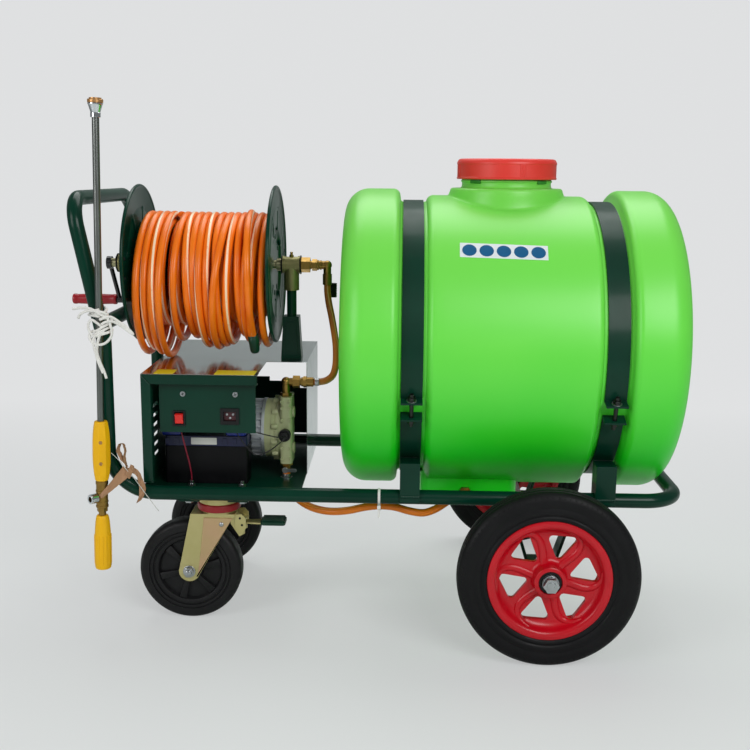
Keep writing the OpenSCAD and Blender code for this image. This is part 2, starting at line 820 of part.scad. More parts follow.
// A tab that stands out from the strap's end at an angle; inward lies towards its own strap
module strap_tab(a, inward) {
    rotate([a, 0, 0]) translate([-strap_w / 2, inward > 0 ? 0 : -strap_t, -strap_in - tab_l])
        cube([strap_w, strap_t, tab_l]);
}

module hook_axis(side) {
    mid = (lower_end + upper_end) / 2;
    rotate([side * mid, 0, 0]) translate([0, 0, -strap_in - hook_off]) rotate([-90 * side, 0, 0]) children();
}

module each_strap() {
    for (s = [-1, 1]) translate([tank_x + s * strap_x, 0, tank_z]) children();
}

module straps_upper() color(frame_green) {
    each_strap() difference() {
        union() {
            strap_arc(upper_end, 360 - upper_end);
            strap_tab(upper_end, 1);
            strap_tab(-upper_end, -1);
        }
        for (side = [-1, 1]) hook_axis(side) cylinder(r = hook_r + 0.5, h = 120, center = true);
    }
}

module straps_lower() color(frame_green) {
    each_strap() difference() {
        union() {
            strap_arc(-lower_end, lower_end);
            strap_tab(lower_end, -1);
            strap_tab(-lower_end, 1);
        }
        for (side = [-1, 1]) hook_axis(side) cylinder(r = hook_r + 0.5, h = 120, center = true);
    }
}

hook_nut_h = 7;
module strap_bolts() color(steel) {
    half_gap = strap_in * sin((upper_end - lower_end) / 2) + strap_t + 2;
    each_strap() for (side = [-1, 1]) hook_axis(side) {
        translate([0, 0, -half_gap - hook_nut_h - 8]) cylinder(r = hook_r, h = 2 * half_gap + 2 * hook_nut_h + 14);
        translate([0, 0, -half_gap - hook_nut_h]) hex_bar(13, hook_nut_h);
        translate([0, 0, half_gap]) hex_bar(13, hook_nut_h);
    }
}

post_w = 38;
post_in = 182;
post_out = rail_y + tube_r + 4;
post_low = rail_z - 6;
post_top = tank_z - sqrt(strap_out * strap_out - post_in * post_in);
module strap_posts() color(frame_green) {
    difference() {
        for (s = [-1, 1], side = [-1, 1])
            translate([tank_x + s * strap_x, side * (post_in + post_out) / 2, (post_low + post_top) / 2])
                cube([post_w, post_out - post_in, post_top - post_low], center = true);
        rail_room();
        translate([0, 0, tank_z]) bar_x(-100, front_x, strap_out + seat);
    }
}

// ---------- Pump box ----------

notch_x = -198.5;
notch_y = -60;
cover_t = 1;
casing_top = box_top - cover_t;
rear_rise = rear_r - sqrt(rear_r * rear_r - pow(upright_x + rear_r - box_x, 2));
foot_z = rail_top + rear_rise + 1;
floor_half = rail_y - tube_r - seat;
hose_hole_r = 12;
inlet_x = -156;
column_y = -88;

module box_floor() color(frame_green) {
    difference() {
        box_between([box_x + sheet_t, -floor_half, floor_z], [box_front_x - cover_t, floor_half, inside_z]);
        translate([inlet_x, column_y, floor_z - 1]) cylinder(r = hose_hole_r, h = floor_t + 2);
        for (x = [-1, 1]) translate([caster_x + x * floor_bolt_x, floor_bolt_y, floor_z - 1])
            cylinder(r = 4 + seat, h = floor_t + 2);
        translate([0, 0, plate_t]) caster_bolt_room();
    }
}

panel_z = casing_top - border - panel_h;
panel_x0 = box_x + border + 12;
panel_x1 = notch_x - 5;
// Window in the far wall behind the notch: where each step of its lower edge starts, and the step's height
far_steps = [[notch_x - 64, inside_z + 150], [notch_x - 28, inside_z + 140], [notch_x + 33, inside_z + 124]];
module box_casing() color(frame_green) {
    difference() {
        union() {
            // rear wall with a tongue between the rails
            box_between([box_x, box_near, foot_z], [box_x + sheet_t, -box_near, casing_top]);
            box_between([box_x, -floor_half, floor_z], [box_x + sheet_t, floor_half, casing_top]);
            // far wall
            difference() {
                box_between([box_x, -box_near - sheet_t, foot_z], [box_front_x - cover_t, -box_near, casing_top]);
                for (step = far_steps)
                    box_between([step[0], -box_near - sheet_t - 1, step[1]],
                                [box_front_x - border, -box_near + 1, casing_top - border]);
            }
            // border of the open side, with its folded edges
            box_between([box_x, box_near, foot_z], [box_x + border, box_near + sheet_t, casing_top]);
            box_between([box_x + border - sheet_t, box_near, foot_z],
                        [box_x + border, box_near + panel_in + sheet_t, casing_top]);
            box_between([box_x, box_near, casing_top - border], [notch_x, box_near + sheet_t, casing_top]);
            box_between([box_x, box_near, casing_top - border],
                        [notch_x, box_near + panel_in + sheet_t, casing_top - border + sheet_t]);
            // fold that carries the cover
            box_between([box_x, box_near, casing_top - sheet_t], [notch_x, box_near + 2 * panel_in, casing_top]);
        }
        for (i = [0:louvre_count - 1])
            translate([box_x - 1, -107, inside_z + 50 + i * louvre_pitch]) rotate([90, 0, 90])
                linear_extrude(sheet_t + 2) round_rect(54, 8, 3.9);
    }
}

module box_cover() color("#c9cccf") {
    difference() {
        box_between([box_x, box_near, casing_top], [box_front_x, -box_near, box_top]);
        box_between([notch_x, box_near - 1, casing_top - 1], [box_front_x + 1, notch_y, box_top + 1]);
    }
    box_between([box_front_x - cover_t, notch_y, foot_z], [box_front_x, -box_near, casing_top]);
    box_between([box_front_x - cover_t, notch_y, floor_z], [box_front_x, floor_half, foot_z]);
}

panel_y = box_near + panel_in;
switch_x = -351.5;
switch_z = panel_z + 28;
socket_x = -253.5;
charge_z = panel_z + 33;
screw_z = panel_z + 76;
screw_x = [-343.5, -242.5];
module control_panel() color(frame_green) {
    difference() {
        box_between([panel_x0, panel_y, panel_z], [panel_x1, panel_y + sheet_t, casing_top - border]);
        translate([switch_x, panel_y, switch_z]) cube([20.6, 10, 26.6], center = true);
        translate([socket_x, panel_y, charge_z]) cube([30.6, 10, 24.6], center = true);
        for (x = screw_x) translate([x, panel_y, screw_z]) bar_y(-5, 5, 2.6);
    }
}

module panel_fittings() color(black) {
    // bezel of the switch
    difference() {
        union() {
            translate([switch_x, panel_y - 1.5, switch_z]) cube([24, 3, 30], center = true);
            translate([switch_x, panel_y + 8, switch_z]) cube([20, 16, 26], center = true);
        }
        translate([switch_x, panel_y + 2, switch_z]) cube([17, 12, 24], center = true);
    }
    // charging socket
    difference() {
        union() {
            translate([socket_x, panel_y - 1.5, charge_z]) cube([36, 3, 32], center = true);
            translate([socket_x, panel_y + 8, charge_z]) cube([30, 16, 24], center = true);
        }
        translate([socket_x, panel_y - 2, charge_z]) cube([24, 16, 18], center = true);
    }
}

rocker_tilt = 9;
rocker_y = panel_y + 3;
module switch_rocker() color("#e02018") {
    translate([switch_x, rocker_y, switch_z]) rotate([rocker_tilt, 0, 0])
        box_between([-8, -8, -9.5], [8, 1, 9.5]);
}

shield_x = -226;        // rear face of the motor's finned end shield
battery_x = shield_x - 1 - battery_l;
motor_y = -50;
battery_near = motor_y - motor_d / 2 - 2 - battery_w;
battery_lid_h = 20;
module battery_case() color(black) {
    translate([battery_x + battery_l / 2, battery_near + battery_w / 2, inside_z])
        linear_extrude(battery_h - battery_lid_h) round_rect(battery_l, battery_w, 5);
}

module battery_lid() color("#1c3fae") {
    translate([battery_x + battery_l / 2, battery_near + battery_w / 2, inside_z + battery_h - battery_lid_h]) {
        linear_extrude(battery_lid_h) round_rect(battery_l - 2, battery_w - 2, 5);
        for (s = [-1, 1]) translate([s * (battery_l / 2 - 22), -6, battery_lid_h]) cylinder(r = 6, h = 6);
    }
}

motor_z = inside_z + 94;
motor_x0 = -369;
pump_x = -199;
column_x = -167;
column_x1 = -143;
column_near = -108;
column_z0 = motor_z - 62;
column_z1 = motor_z + 75;
motor_r = motor_d / 2;
pump_r = pump_d / 2;
fin_count = 24;         // cooling fins round the motor's end shield
module motor_body() color("#9aa3ab") {
    translate([0, motor_y, motor_z]) {
        bar_x(motor_x0, shield_x, motor_r - 5);
        for (x = [motor_x0 + 12:14:shield_x - 10]) bar_x(x, x + 5, motor_r);
        bar_x(motor_x0 - 8, motor_x0, motor_r - 14);
        bar_x(shield_x, pump_x, pump_r - 8);
        bar_x(pump_x - 6, pump_x, pump_r + 1);
        for (i = [0:fin_count - 1]) rotate([i * 360 / fin_count, 0, 0])
            box_between([shield_x, -1.5, pump_r - 14], [pump_x, 1.5, pump_r - 1]);
    }
    // feet
    foot_y = motor_r - 16;
    box_between([motor_x0 + 30, motor_y - foot_y - 12, inside_z], [shield_x - 30, motor_y + foot_y + 12, inside_z + 8]);
    for (s = [-1, 1])
        box_between([motor_x0 + 40, motor_y + s * foot_y - 5, inside_z + 8],
                    [shield_x - 40, motor_y + s * foot_y + 5, motor_z - motor_r + 20]);
}

module pump_head() color("#98a070") {
    translate([0, motor_y, motor_z]) bar_x(pump_x, column_x + 8, pump_r);
    translate([(column_x + column_x1) / 2, (column_near + motor_y) / 2, column_z0])
        linear_extrude(column_z1 - column_z0)
            round_rect(column_x1 - column_x, motor_y - column_near, 8);
    for (z = [motor_z - 32, motor_z + 42])
        translate([column_x1, column_y, z]) bar_x(-1, 4, 11);
}

delivery_route = [[-101, -88, 477], [-89, -88, 477.5], [-75, -86.5, 480.5], [-63, -82, 489.5], [-58, -73, 504],
                  [-57, -60, 524], [-59, -44, 549], [-64, -27, 574], [-70, -12, 601], [-76, -3, 626],
                  [-79, 0, 648], [-79.5, 0, 664]];
outlet_end = delivery_route[0];
module outlet_fitting() color(brass) {
    c = [inlet_x, column_y, outlet_end.z];
    rod([c.x, c.y, column_z1], c, 8);
    translate([c.x, c.y, column_z1]) hex_bar(20, 7);
    translate(c) sphere(r = 9.5);
    translate([0, c.y, c.z]) {
        bar_x(c.x, outlet_end.x, 7.5);
        translate([c.x + 14, 0, 0]) rotate([0, 90, 0]) hex_bar(22, 14);
        bar_x(outlet_end.x - 24, outlet_end.x, 9.5);
        translate([outlet_end.x - 20, 0, 0]) rotate([0, 90, 0]) hex_bar(20, 6);
    }
}

suction_route = [[187, -168, 263], [177, -168, 262.5], [163, -169, 253], [146, -170, 242], [123, -170, 234], [96, -170, 237],
                 [66, -170, 245], [36, -170, 247], [6, -169, 243], [-24, -166, 235], [-54, -160, 230],
                 [-81, -150, 229], [-106, -136, 232], [-127, -120, 239], [-143, -105, 249], [-152, -94, 262],
                 [-155.5, -89, 276], [-156, -88, 290]];
inlet_z = suction_route[len(suction_route) - 1].z;
lever_y = column_near - 8;
valve_z = (inlet_z + column_z0) / 2;
module inlet_fitting() color(brass) {
    translate([inlet_x, column_y, 0]) {
        translate([0, 0, inlet_z]) cylinder(r = 7.5, h = column_z0 - inlet_z);
        translate([0, 0, column_z0 - 7]) hex_bar(22, 7);
        translate([0, 0, inlet_z + 1]) hex_bar(20, 5);
    }
    translate([inlet_x, 0, valve_z]) bar_y(lever_y, column_y, 3.5);
}

lever_l = 20;
module valve_lever() color(steel) {
    translate([inlet_x, lever_y, valve_z]) {
        bar_y(-3.3, -side_run, 6);
        box_between([0, -3.3, -3.5], [lever_l, -side_run, 3.5]);
        translate([lever_l, 0, 0]) bar_y(-3.3, -side_run, 3.5);
    }
}

sensor_y = min(column_near, motor_y - pump_r) - seat;
module pressure_switch() color(black) {
    translate([inlet_x, 0, motor_z + 1]) {
        bar_y(sensor_y - 14, sensor_y, 11.5);
        bar_y(sensor_y - 19, sensor_y - 14, 8);
        bar_y(sensor_y, column_near - seat, 2.5);
    }
}

floor_bolt_x = 50;
floor_bolt_y = -165;
module fasteners() color("#c8ccce") {
    for (x = screw_x) translate([x, panel_y, screw_z]) {
        bar_y(-2.4, 0, 5);
        bar_y(-1, 10, 2.4);
    }
    for (x = [-1, 1]) translate([caster_x + x * floor_bolt_x, floor_bolt_y, 0]) {
        translate([0, 0, inside_z]) hex_bar(13, 6);
        translate([0, 0, inside_z + 6]) cylinder(r = 4, h = 6);
    }
    caster_bolt_places() {
        translate([0, 0, plate_z - 6]) hex_bar(15, 6);
        translate([0, 0, plate_z - 4]) cylinder(r = bolt_r, h = plate_t + crossbar_t + 4 - 1);
    }
    for (side = [0, 1])
        mirror([0, side, 0]) translate([wheel_x, wheel_y + hub_half + side_run, axle_z]) difference() {
            union() {
                bar_y(0, washer_t, 15);
                translate([0, washer_t, 0]) rotate([-90, 0, 0]) hex_bar(25, nut_h);
            }
            bar_y(-1, nut_h + washer_t + 1, axle_d / 2 + run);
        }
}

// Leads inside the box, between the backs of the panel's fittings and the battery and the pump
lead_r = 1.6;
lead_y = panel_y + 16.1;
lead_room = (battery_near - lead_y) / 27.9;
lead_end_y = sensor_y - 19.3;
function behind(x, d, z) = [x, lead_y + lead_room * d, z];
lead_routes = [
    [behind(-357, 0, 416), behind(-357, 3.9, 416), behind(-356, 7.9, 408), behind(-353, 7.9, 388),
     behind(-346, 9.9, 354), behind(-340, 12.9, 324), [-337, battery_near - 12, 299],
     [-338, battery_near - 10, inside_z + lead_r]],
    [behind(-346, 0, 416), behind(-346, 3.9, 416), behind(-347, 7.9, 407), behind(-350, 11.9, 395),
     behind(-356, 22.9, 387), [-361, battery_near + 5, 384.5], [-369, battery_near + 14, 383.9]],
    [behind(-248, 0, 422), behind(-248, 3.9, 422), behind(-245, 7.9, 413), behind(-234, 12.9, 400),
     behind(-214, 16.9, 390), behind(-189, 23.9, 382), [-171, lead_end_y - 13.4, 376],
     [-160, lead_end_y - 6.4, 374], [-158.5, lead_end_y - 2.9, 374], [-158.5, lead_end_y, 374]],
    [behind(-259, 0, 422), behind(-259, 3.9, 422), behind(-258, 7.9, 413), behind(-249, 12.9, 394),
     behind(-231, 16.9, 364), behind(-209, 20.9, 342), behind(-185, 26.9, 348), [-165, lead_end_y - 11.4, 362],
     [-155, lead_end_y - 6.4, 371], [-153.5, lead_end_y - 2.9, 374], [-153.5, lead_end_y, 374]]];
module wiring() color("#8c1822") {
    for (route = lead_routes) swept_tube(route, lead_r);
}

module delivery_hose() color(hose_orange) swept_tube(delivery_route, 7);
suction_r = 7.5;
module suction_hose() color(hose_orange) swept_tube(suction_route, suction_r);

// ---------- Reel ----------

bearing_l = 35;
bearing_x = [lean_x(brace_z) - bearing_l / 2, reel_end + 18.5];
socket_z = reel_z - 52;
socket_in = 14;

module bearing(x) {
    difference() {
        union() {
            translate([0, 0, reel_z]) bar_x(x, x + bearing_l, spindle_r + 7.5);
            translate([x + bearing_l / 2, 0, socket_z]) cylinder(r = neck_bar_r + 5.5, h = reel_z - socket_z);
            for (e = [0, bearing_l - 4]) translate([0, 0, reel_z]) bar_x(x + e, x + e + 4, spindle_r + 9);
        }
        translate([0, 0, reel_z]) bar_x(x - 1, x + bearing_l + 1, spindle_r + run);
        translate([x + bearing_l / 2, 0, socket_z - 1]) cylinder(r = neck_bar_r + seat, h = socket_in + 1.5);
    }
}

module bearing_rear() color("#8d8a5a") bearing(bearing_x[0]);
module bearing_front() color("#8d8a5a") bearing(bearing_x[1]);

post_x = bearing_x[1] + bearing_l / 2;
stand_h = 87;           // the tapered stand under the front bearing
stand_w = 36;
stand_foot = 42;
stand_head = 32;
module reel_post() color(frame_green) {
    translate([post_x, stand_w / 2, box_top]) rotate([90, 0, 0]) linear_extrude(stand_w)
        polygon([[-stand_foot / 2, 0], [stand_foot / 2, 0], [stand_head / 2, stand_h], [-stand_head / 2, stand_h]]);
    translate([post_x, 0, box_top + stand_h - 1])
        cylinder(r = neck_bar_r, h = socket_z + socket_in - box_top - stand_h + 1);
}

elbow_x = -79.5;
swivel_x = bearing_x[1] + bearing_l + 3;
spindle_end = swivel_x + 14;
module swivel_elbow() color(brass) {
    difference() {
        union() {
            translate([0, 0, reel_z]) {
                translate([swivel_x, 0, 0]) rotate([0, 90, 0]) hex_bar(27, 18);
                bar_x(swivel_x + 18, elbow_x, 8.5);
                translate([swivel_x + 22, 0, 0]) rotate([0, 90, 0]) hex_bar(21, 10);
                translate([elbow_x, 0, 0]) sphere(r = 9.5);
            }
            rod([elbow_x, 0, delivery_route[11].z], [elbow_x, 0, reel_z], 8);
            rod([elbow_x, 0, delivery_route[11].z], [elbow_x, 0, delivery_route[11].z + 22], 9.5);
        }
        translate([0, 0, reel_z]) bar_x(swivel_x - 1, spindle_end + side_run, spindle_r + run);
    }
}

crank_x = lean_x(brace_z) - bearing_l / 2 - 19.5;
crank_turn = 52.4;      // the crank hangs this many degrees below the horizontal
crank_end = [crank_x, crank_l * cos(crank_turn), reel_z - crank_l * sin(crank_turn)];
rod_r = 4.5;
module reel_spindle() color(zinc) {
    translate([0, 0, reel_z]) {
        bar_x(crank_x - 4, spindle_end, spindle_r);
        bar_x(bearing_x[0] + bearing_l + side_run, bearing_x[0] + bearing_l + side_run + 5, spindle_r + 4);
        bar_x(bearing_x[0] - side_run - 5, bearing_x[0] - side_run, spindle_r + 6);
        bar_x(bearing_x[1] - side_run - 12, bearing_x[1] - side_run, spindle_r + 4);
    }
}

module crank_arm() color(black) {
    difference() {
        union() {
            translate([0, 0, reel_z]) bar_x(crank_x - 5, crank_x + 5, spindle_r + 4);
            rod([crank_x, 0, reel_z], crank_end, rod_r);
            translate([0, crank_end.y, crank_end.z]) {
                bar_x(crank_x - 5, crank_x + 5, rod_r + 3);
                bar_x(crank_x - 5 - grip_l + 4, crank_x, rod_r);
            }
        }
        translate([0, 0, reel_z]) bar_x(crank_x - 6, crank_x + 6, spindle_r + run);
    }
}

module crank_grip() color(red) {
    end = crank_x - 5 - side_run;
    translate([0, crank_end.y, crank_end.z]) difference() {
        rotate([0, -90, 0]) translate([0, 0, -end]) rotate_extrude() {
            square([grip_d / 2 - 3, grip_l]);
            translate([0, 3]) square([grip_d / 2, grip_l - 6]);
            for (z = [3, grip_l - 3]) translate([grip_d / 2 - 3, z]) circle(3);
        }
        bar_x(end - grip_l + 3, end + 1, rod_r + run);
    }
}

drum_r = drum_d / 2;
drum_wall = 2;
module reel_drum() color(frame_green) {
    translate([0, 0, reel_z]) rotate([0, 90, 0]) translate([0, 0, flange_x]) rotate_extrude() {
        translate([drum_r - drum_wall, 1]) square([drum_wall, reel_l - 2]);
        for (z = [1, reel_l - 4]) translate([spindle_r + run, z]) square([drum_r - spindle_r - run, 3]);
    }
}

rim_roll = 3.5;
module flange(out) {
    r = flange_d / 2;
    rotate([0, 90, 0]) rotate_extrude($fn = 96) {
        polygon([[spindle_r + run, -1], [r - 90, -1], [r - 84, -1 + out * 5], [r - 2 * rim_roll + 1, -1 + out * 5],
                 [r - 2 * rim_roll + 1, 1 + out * 5], [r - 84, 1 + out * 5], [r - 90, 1], [spindle_r + run, 1]]);
        translate([r - rim_roll, out * 5]) circle(rim_roll);
    }
}

module reel_flanges() color(frame_green) {
    translate([flange_x, 0, reel_z]) flange(-1);
    translate([reel_end, 0, reel_z]) flange(1);
}

// Radius of a loop: near the drum at its top, hanging lower under the axle by its own slack
function hang(a) = pow((1 - cos(a)) / 2, 1.4);
function wind_slack(t) = 58 + 10 * sin(t * 0.31) + 6 * sin(t * 0.83 + 40);
function wind_x(t) = -hose_r - 2 - wind_pitch * t / 360;
hose_r = hose_d / 2;
wind_pitch = hose_d + 0.75;
rings = 24;
function loop_point(x, r, a) = [x, -r * sin(a), reel_z + r * cos(a)];
wind_start = -40;
wind_points = [for (i = [0:wind_turns * rings])
                   let (t = i * 360 / rings, a = t + wind_start)
                   loop_point(reel_end + wind_x(t), wind_r + wind_slack(t) * hang(a), a)];

function slack_sag(t) = 108 + 10 * sin(t * 0.27 + 20);
slack_x = reel_end + wind_x(wind_turns * 360) - hose_d - 1;
slack_points = [for (i = [0:slack_turns * rings])
                    let (t = i * 360 / rings, a = t + wind_start)
                    loop_point(slack_x - (wind_pitch + 0.3) * t / 360, wind_r + 1 + slack_sag(t) * lean_hang(a), a)];
// The slack loops hang towards the near side until they touch the box
function lean_hang(a) = pow((1 - cos(a)) / 2, 1.6) * (1 + 0.25 * sin(a)) * 0.72;

// Least distance between two stretches of a tube that are more than half a turn apart
function least_gap(p, d) = min([for (i = [0:len(p) - 1]) for (j = [i + rings / 2:1:len(p) - 1])
                                    norm(p[i] - p[j])]) - d;
echo(winding_gap = least_gap(wind_points, hose_d), slack_gap = least_gap(slack_points, hose_d));

module hose_winding() color(hose_orange) {
    swept_tube(wind_points, hose_r, 6);
    // the inner layers
    translate([0, 0, reel_z]) rotate([0, 90, 0]) translate([0, 0, flange_x + 2]) rotate_extrude()
        translate([drum_r + seat, 0]) square([wind_r * cos(180 / rings) - hose_r - 0.5 - drum_r - seat, reel_l - 4]);
}

module hose_slack() color(hose_orange) swept_tube(slack_points, hose_r, 6);

// ---------- Lance ----------

lance_y = -(rail_y + tube_r + lance_grip_d / 2 + 0.5);
lance_low = rail_z - 144.5;
lance_foot_x = -496.5;
valve_l = 69;
nozzle_l = 34;
inlet_r = 5;
inlet_turn = 50;        // the hose inlet points back and to the near side

// Children stand on the lance's lower end and point along it
module on_lance(h) {
    translate([lance_foot_x, lance_y, lance_low]) rotate([0, lance_lean, 0]) translate([0, 0, h]) children();
}

module lance_grip_rear() color(yellow) {
    on_lance(0) difference() {
        rotate_extrude() polygon([[0, 0], [lance_grip_d / 2 - 2, 0], [lance_grip_d / 2 - 0.5, 10],
                                  [lance_grip_d / 2 - 1, rear_grip_l - 40], [lance_grip_d / 2 - 4, rear_grip_l - 6],
                                  [lance_grip_d / 2 - 6, rear_grip_l], [0, rear_grip_l]]);
        translate([0, 0, rear_grip_l - 30]) cylinder(r = 5 + run, h = 31);
    }
}

module lance_valve() color(brass) {
    on_lance(rear_grip_l) difference() {
        union() {
            translate([0, 0, -28]) cylinder(r = 5, h = 30);
            translate([0, 0, side_run]) cylinder(r = 7, h = 16);
            translate([0, 0, 8]) hex_bar(18, 9);
            translate([0, 0, 16]) cylinder(r = 11, h = valve_l - 16);
            translate([0, 0, 36]) rotate(inlet_turn) rotate([0, -90, 0]) cylinder(r = 8, h = 26);
        }
        translate([0, 0, 36]) rotate(inlet_turn) rotate([0, -90, 0]) translate([0, 0, 6]) cylinder(r = inlet_r, h = 21);
    }
}

module lance_grip_front() color(yellow) {
    r = lance_grip_d / 2;
    on_lance(rear_grip_l + valve_l) rotate_extrude()
        polygon([[0, 0], [r - 4, 0], [r - 2, 12], [r, 32], [r, front_grip_l - 40], [r - 3, front_grip_l - 6],
                 [r - 4, front_grip_l], [0, front_grip_l]]);
}

module lance_tube() color(steel) {
    on_lance(rear_grip_l + valve_l + front_grip_l) cylinder(r = lance_d / 2, h = lance_l);
}

module lance_nozzle() color("#cfd2d4") {
    on_lance(rear_grip_l + valve_l + front_grip_l + lance_l) {
        cylinder(r = 9, h = 9);
        translate([0, 0, 9]) rotate_extrude() polygon([[0, 0], [9, 0], [14, 14], [14, 22], [0, 22]]);
        translate([0, 0, nozzle_l - 3]) cylinder(r = 11, h = 3);
    }
}

// A loop of cord round two round bars
module loop_round(a, b, r, cord) {
    d = unit(b - a);
    n = [-d.y, d.x] * r;
    m = [-d.y, d.x] * (r + cord);
    difference() {
        union() {
            translate(a) circle(r + cord);
            translate(b) circle(r + cord);
            polygon([a + m, b + m, b - m, a - m]);
        }
        translate(a) circle(r);
        translate(b) circle(r);
        polygon([a + n, b + n, b - n, a - n]);
    }
}

tie_h = 345;
tie_w = 6;              // two turns of cord, side by side
module ties() color("#f2f2ee") {
    z = rail_z + tie_h;
    lance_x = lance_foot_x + (z + tie_w / 2 - lance_low) * tan(lance_lean);
    upright = [lean_x(z + tie_w / 2), -rail_y];
    lance = [lance_x, lance_y];
    r = tube_r + 1;
    inner = lance + unit(upright - lance) * (r - lance_d / 2 - 1);
    translate([0, 0, z]) linear_extrude(tie_w) loop_round(upright, inner, r, 3);
    // cable tie that holds the suction hose up to the near rail
    held = suction_route[7];
    hose = [-held.y, held.z];
    rail = [rail_y, rail_z];
    low = hose + unit(rail - hose) * (tube_r + seat - suction_r - 0.5);
    translate([held.x - 2.5, 0, 0]) rotate([90, 0, 90]) linear_extrude(5)
        mirror([1, 0]) loop_round(rail, low, tube_r + seat, 1.2);
}

frame_tube();
crossbars();
handle_brace();
axle_brackets();
front_axle();
box_floor();
box_casing();
box_cover();
control_panel();
fasteners();
panel_fittings();
battery_case();
battery_lid();
wiring();
motor_body();
pump_head();
outlet_fitting();
inlet_fitting();
pressure_switch();
delivery_hose();
suction_hose();
reel_post();
bearing_front();
bearing_rear();
swivel_elbow();
tank_shell();
tank_outlet();
straps_upper();
straps_lower();
strap_posts();
strap_bolts();
lance_tube();
lance_nozzle();
lance_grip_front();
lance_valve();
ties();
hose_slack();
caster_plates();
caster_seals();
switch_rocker();
valve_lever();
lance_grip_rear();
strainer_basket();
tank_lid();
reel_drum();
reel_flanges();
reel_spindle();
crank_arm();
crank_grip();
hose_winding();
rim_near();
rim_far();
tyre_near();
tyre_far();
fork_near();
fork_far();
caster_wheel_near();
caster_wheel_far();
brake_near();
brake_far();
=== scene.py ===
import bmesh
import bpy
import json
import math
import numpy as np
import random
from mathutils import Matrix, Vector


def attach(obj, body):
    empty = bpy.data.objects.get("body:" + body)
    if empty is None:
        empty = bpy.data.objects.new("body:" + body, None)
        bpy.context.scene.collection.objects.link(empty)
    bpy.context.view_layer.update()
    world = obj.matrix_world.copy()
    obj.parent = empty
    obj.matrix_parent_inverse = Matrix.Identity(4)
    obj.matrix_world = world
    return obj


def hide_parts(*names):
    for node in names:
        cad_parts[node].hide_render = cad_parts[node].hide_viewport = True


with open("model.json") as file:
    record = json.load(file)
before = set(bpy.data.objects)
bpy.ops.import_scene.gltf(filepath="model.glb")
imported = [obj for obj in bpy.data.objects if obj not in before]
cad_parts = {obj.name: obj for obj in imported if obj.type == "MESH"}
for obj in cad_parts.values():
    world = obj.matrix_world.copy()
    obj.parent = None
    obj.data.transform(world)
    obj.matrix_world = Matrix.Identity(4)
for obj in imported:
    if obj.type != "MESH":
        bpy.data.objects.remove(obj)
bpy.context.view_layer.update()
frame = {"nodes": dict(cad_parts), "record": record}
nodes = frame["nodes"]


# ---- Studio ----
# A pale paper sweep under two large soft boxes and a soft fill. The camera stands two metres off the
# near side, at the height of the handle bar.

def linear(code):
    """Linear RGBA of an sRGB hex colour."""
    parts = [int(code[i:i + 2], 16) / 255 for i in (1, 3, 5)]
    return [c / 12.92 if c <= 0.04045 else ((c + 0.055) / 1.055) ** 2.4 for c in parts] + [1.0]


def add(tree, kind, fields=None, wires=None):
    """Adds a node. A field is a setting in small letters or else an input; a wire feeds an input."""
    made = tree.nodes.new(kind)
    for name, value in (fields or {}).items():
        if isinstance(name, str) and name[0].islower():
            setattr(made, name, value)
        else:
            made.inputs[name].default_value = value
    for name, source in (wires or {}).items():
        tree.links.new(source, made.inputs[name])
    return made


def keep(name, data):
    """Links a finished mesh, or other data, as an object at the origin."""
    piece = bpy.data.objects.new(name, data)
    bpy.context.scene.collection.objects.link(piece)
    return piece


def mesh_of(name, verts, faces=()):
    """A mesh of points and faces."""
    mesh = bpy.data.meshes.new(name)
    mesh.from_pydata(verts, [], faces)
    return mesh


def ring_faces(rings, sides):
    """Quads between closed rings of points that follow each other."""
    return [(j * sides + k, j * sides + (k + 1) % sides, (j + 1) * sides + (k + 1) % sides,
             (j + 1) * sides + k) for j in range(rings - 1) for k in range(sides)]


def end_caps(rings, sides):
    """The faces that close the first and the last ring."""
    return [tuple(range(sides - 1, -1, -1)), tuple((rings - 1) * sides + k for k in range(sides))]


def start_material(name, colour, roughness, slot=None, **sockets):
    """A material whose Principled shader holds plain values; returns it, its tree and its shader."""
    material = bpy.data.materials.new(name)
    material.use_nodes = True
    tree = material.node_tree
    shader = tree.nodes["Principled BSDF"]
    shader.inputs["Base Color"].default_value = linear(colour)
    shader.inputs["Roughness"].default_value = roughness
    for socket, value in sockets.items():
        shader.inputs[socket.replace("_", " ")].default_value = value
    return material, tree, shader


sensor_width = 36.0
focal_share = 1025.61 / 750
camera_data = bpy.data.cameras.new("camera")
camera_data.sensor_width = sensor_width
camera_data.lens = sensor_width * focal_share
camera = keep("camera", camera_data)
ahead = Vector((-0.02368, 0.98084, -0.19339)).normalized()
heading = 0.0241
level = Vector((math.cos(heading), math.sin(heading), 0))
upward = level.cross(ahead)
tilt = 0.0103
right = math.cos(tilt) * level + math.sin(tilt) * upward
above = -math.sin(tilt) * level + math.cos(tilt) * upward
aim = Matrix((right, above, -ahead)).transposed().to_4x4()
stand_point = (0.07132, -2.10392, 0.89071)
camera.matrix_world = Matrix.Translation(stand_point) @ aim
bpy.context.scene.camera = camera

sweep_steps = 24
sweep_radius = 1.6
sweep_front, sweep_back, sweep_height, sweep_half = -6.0, 2.6, 7.0, 9.0
profile = [(sweep_front, 0.0), (sweep_back, 0.0)]
for i in range(1, sweep_steps + 1):
    a = math.pi / 2 * i / sweep_steps
    profile.append((sweep_back + sweep_radius * math.sin(a), sweep_radius * (1 - math.cos(a))))
profile.append((sweep_back + sweep_radius, sweep_height))
verts = [(x, y, z) for y, z in profile for x in (-sweep_half, sweep_half)]
faces = [(2 * i, 2 * i + 1, 2 * i + 3, 2 * i + 2) for i in range(len(profile) - 1)]
paper_sweep = keep("paper_sweep", mesh_of("paper_sweep", verts, faces))
for face in paper_sweep.data.polygons:
    face.use_smooth = True
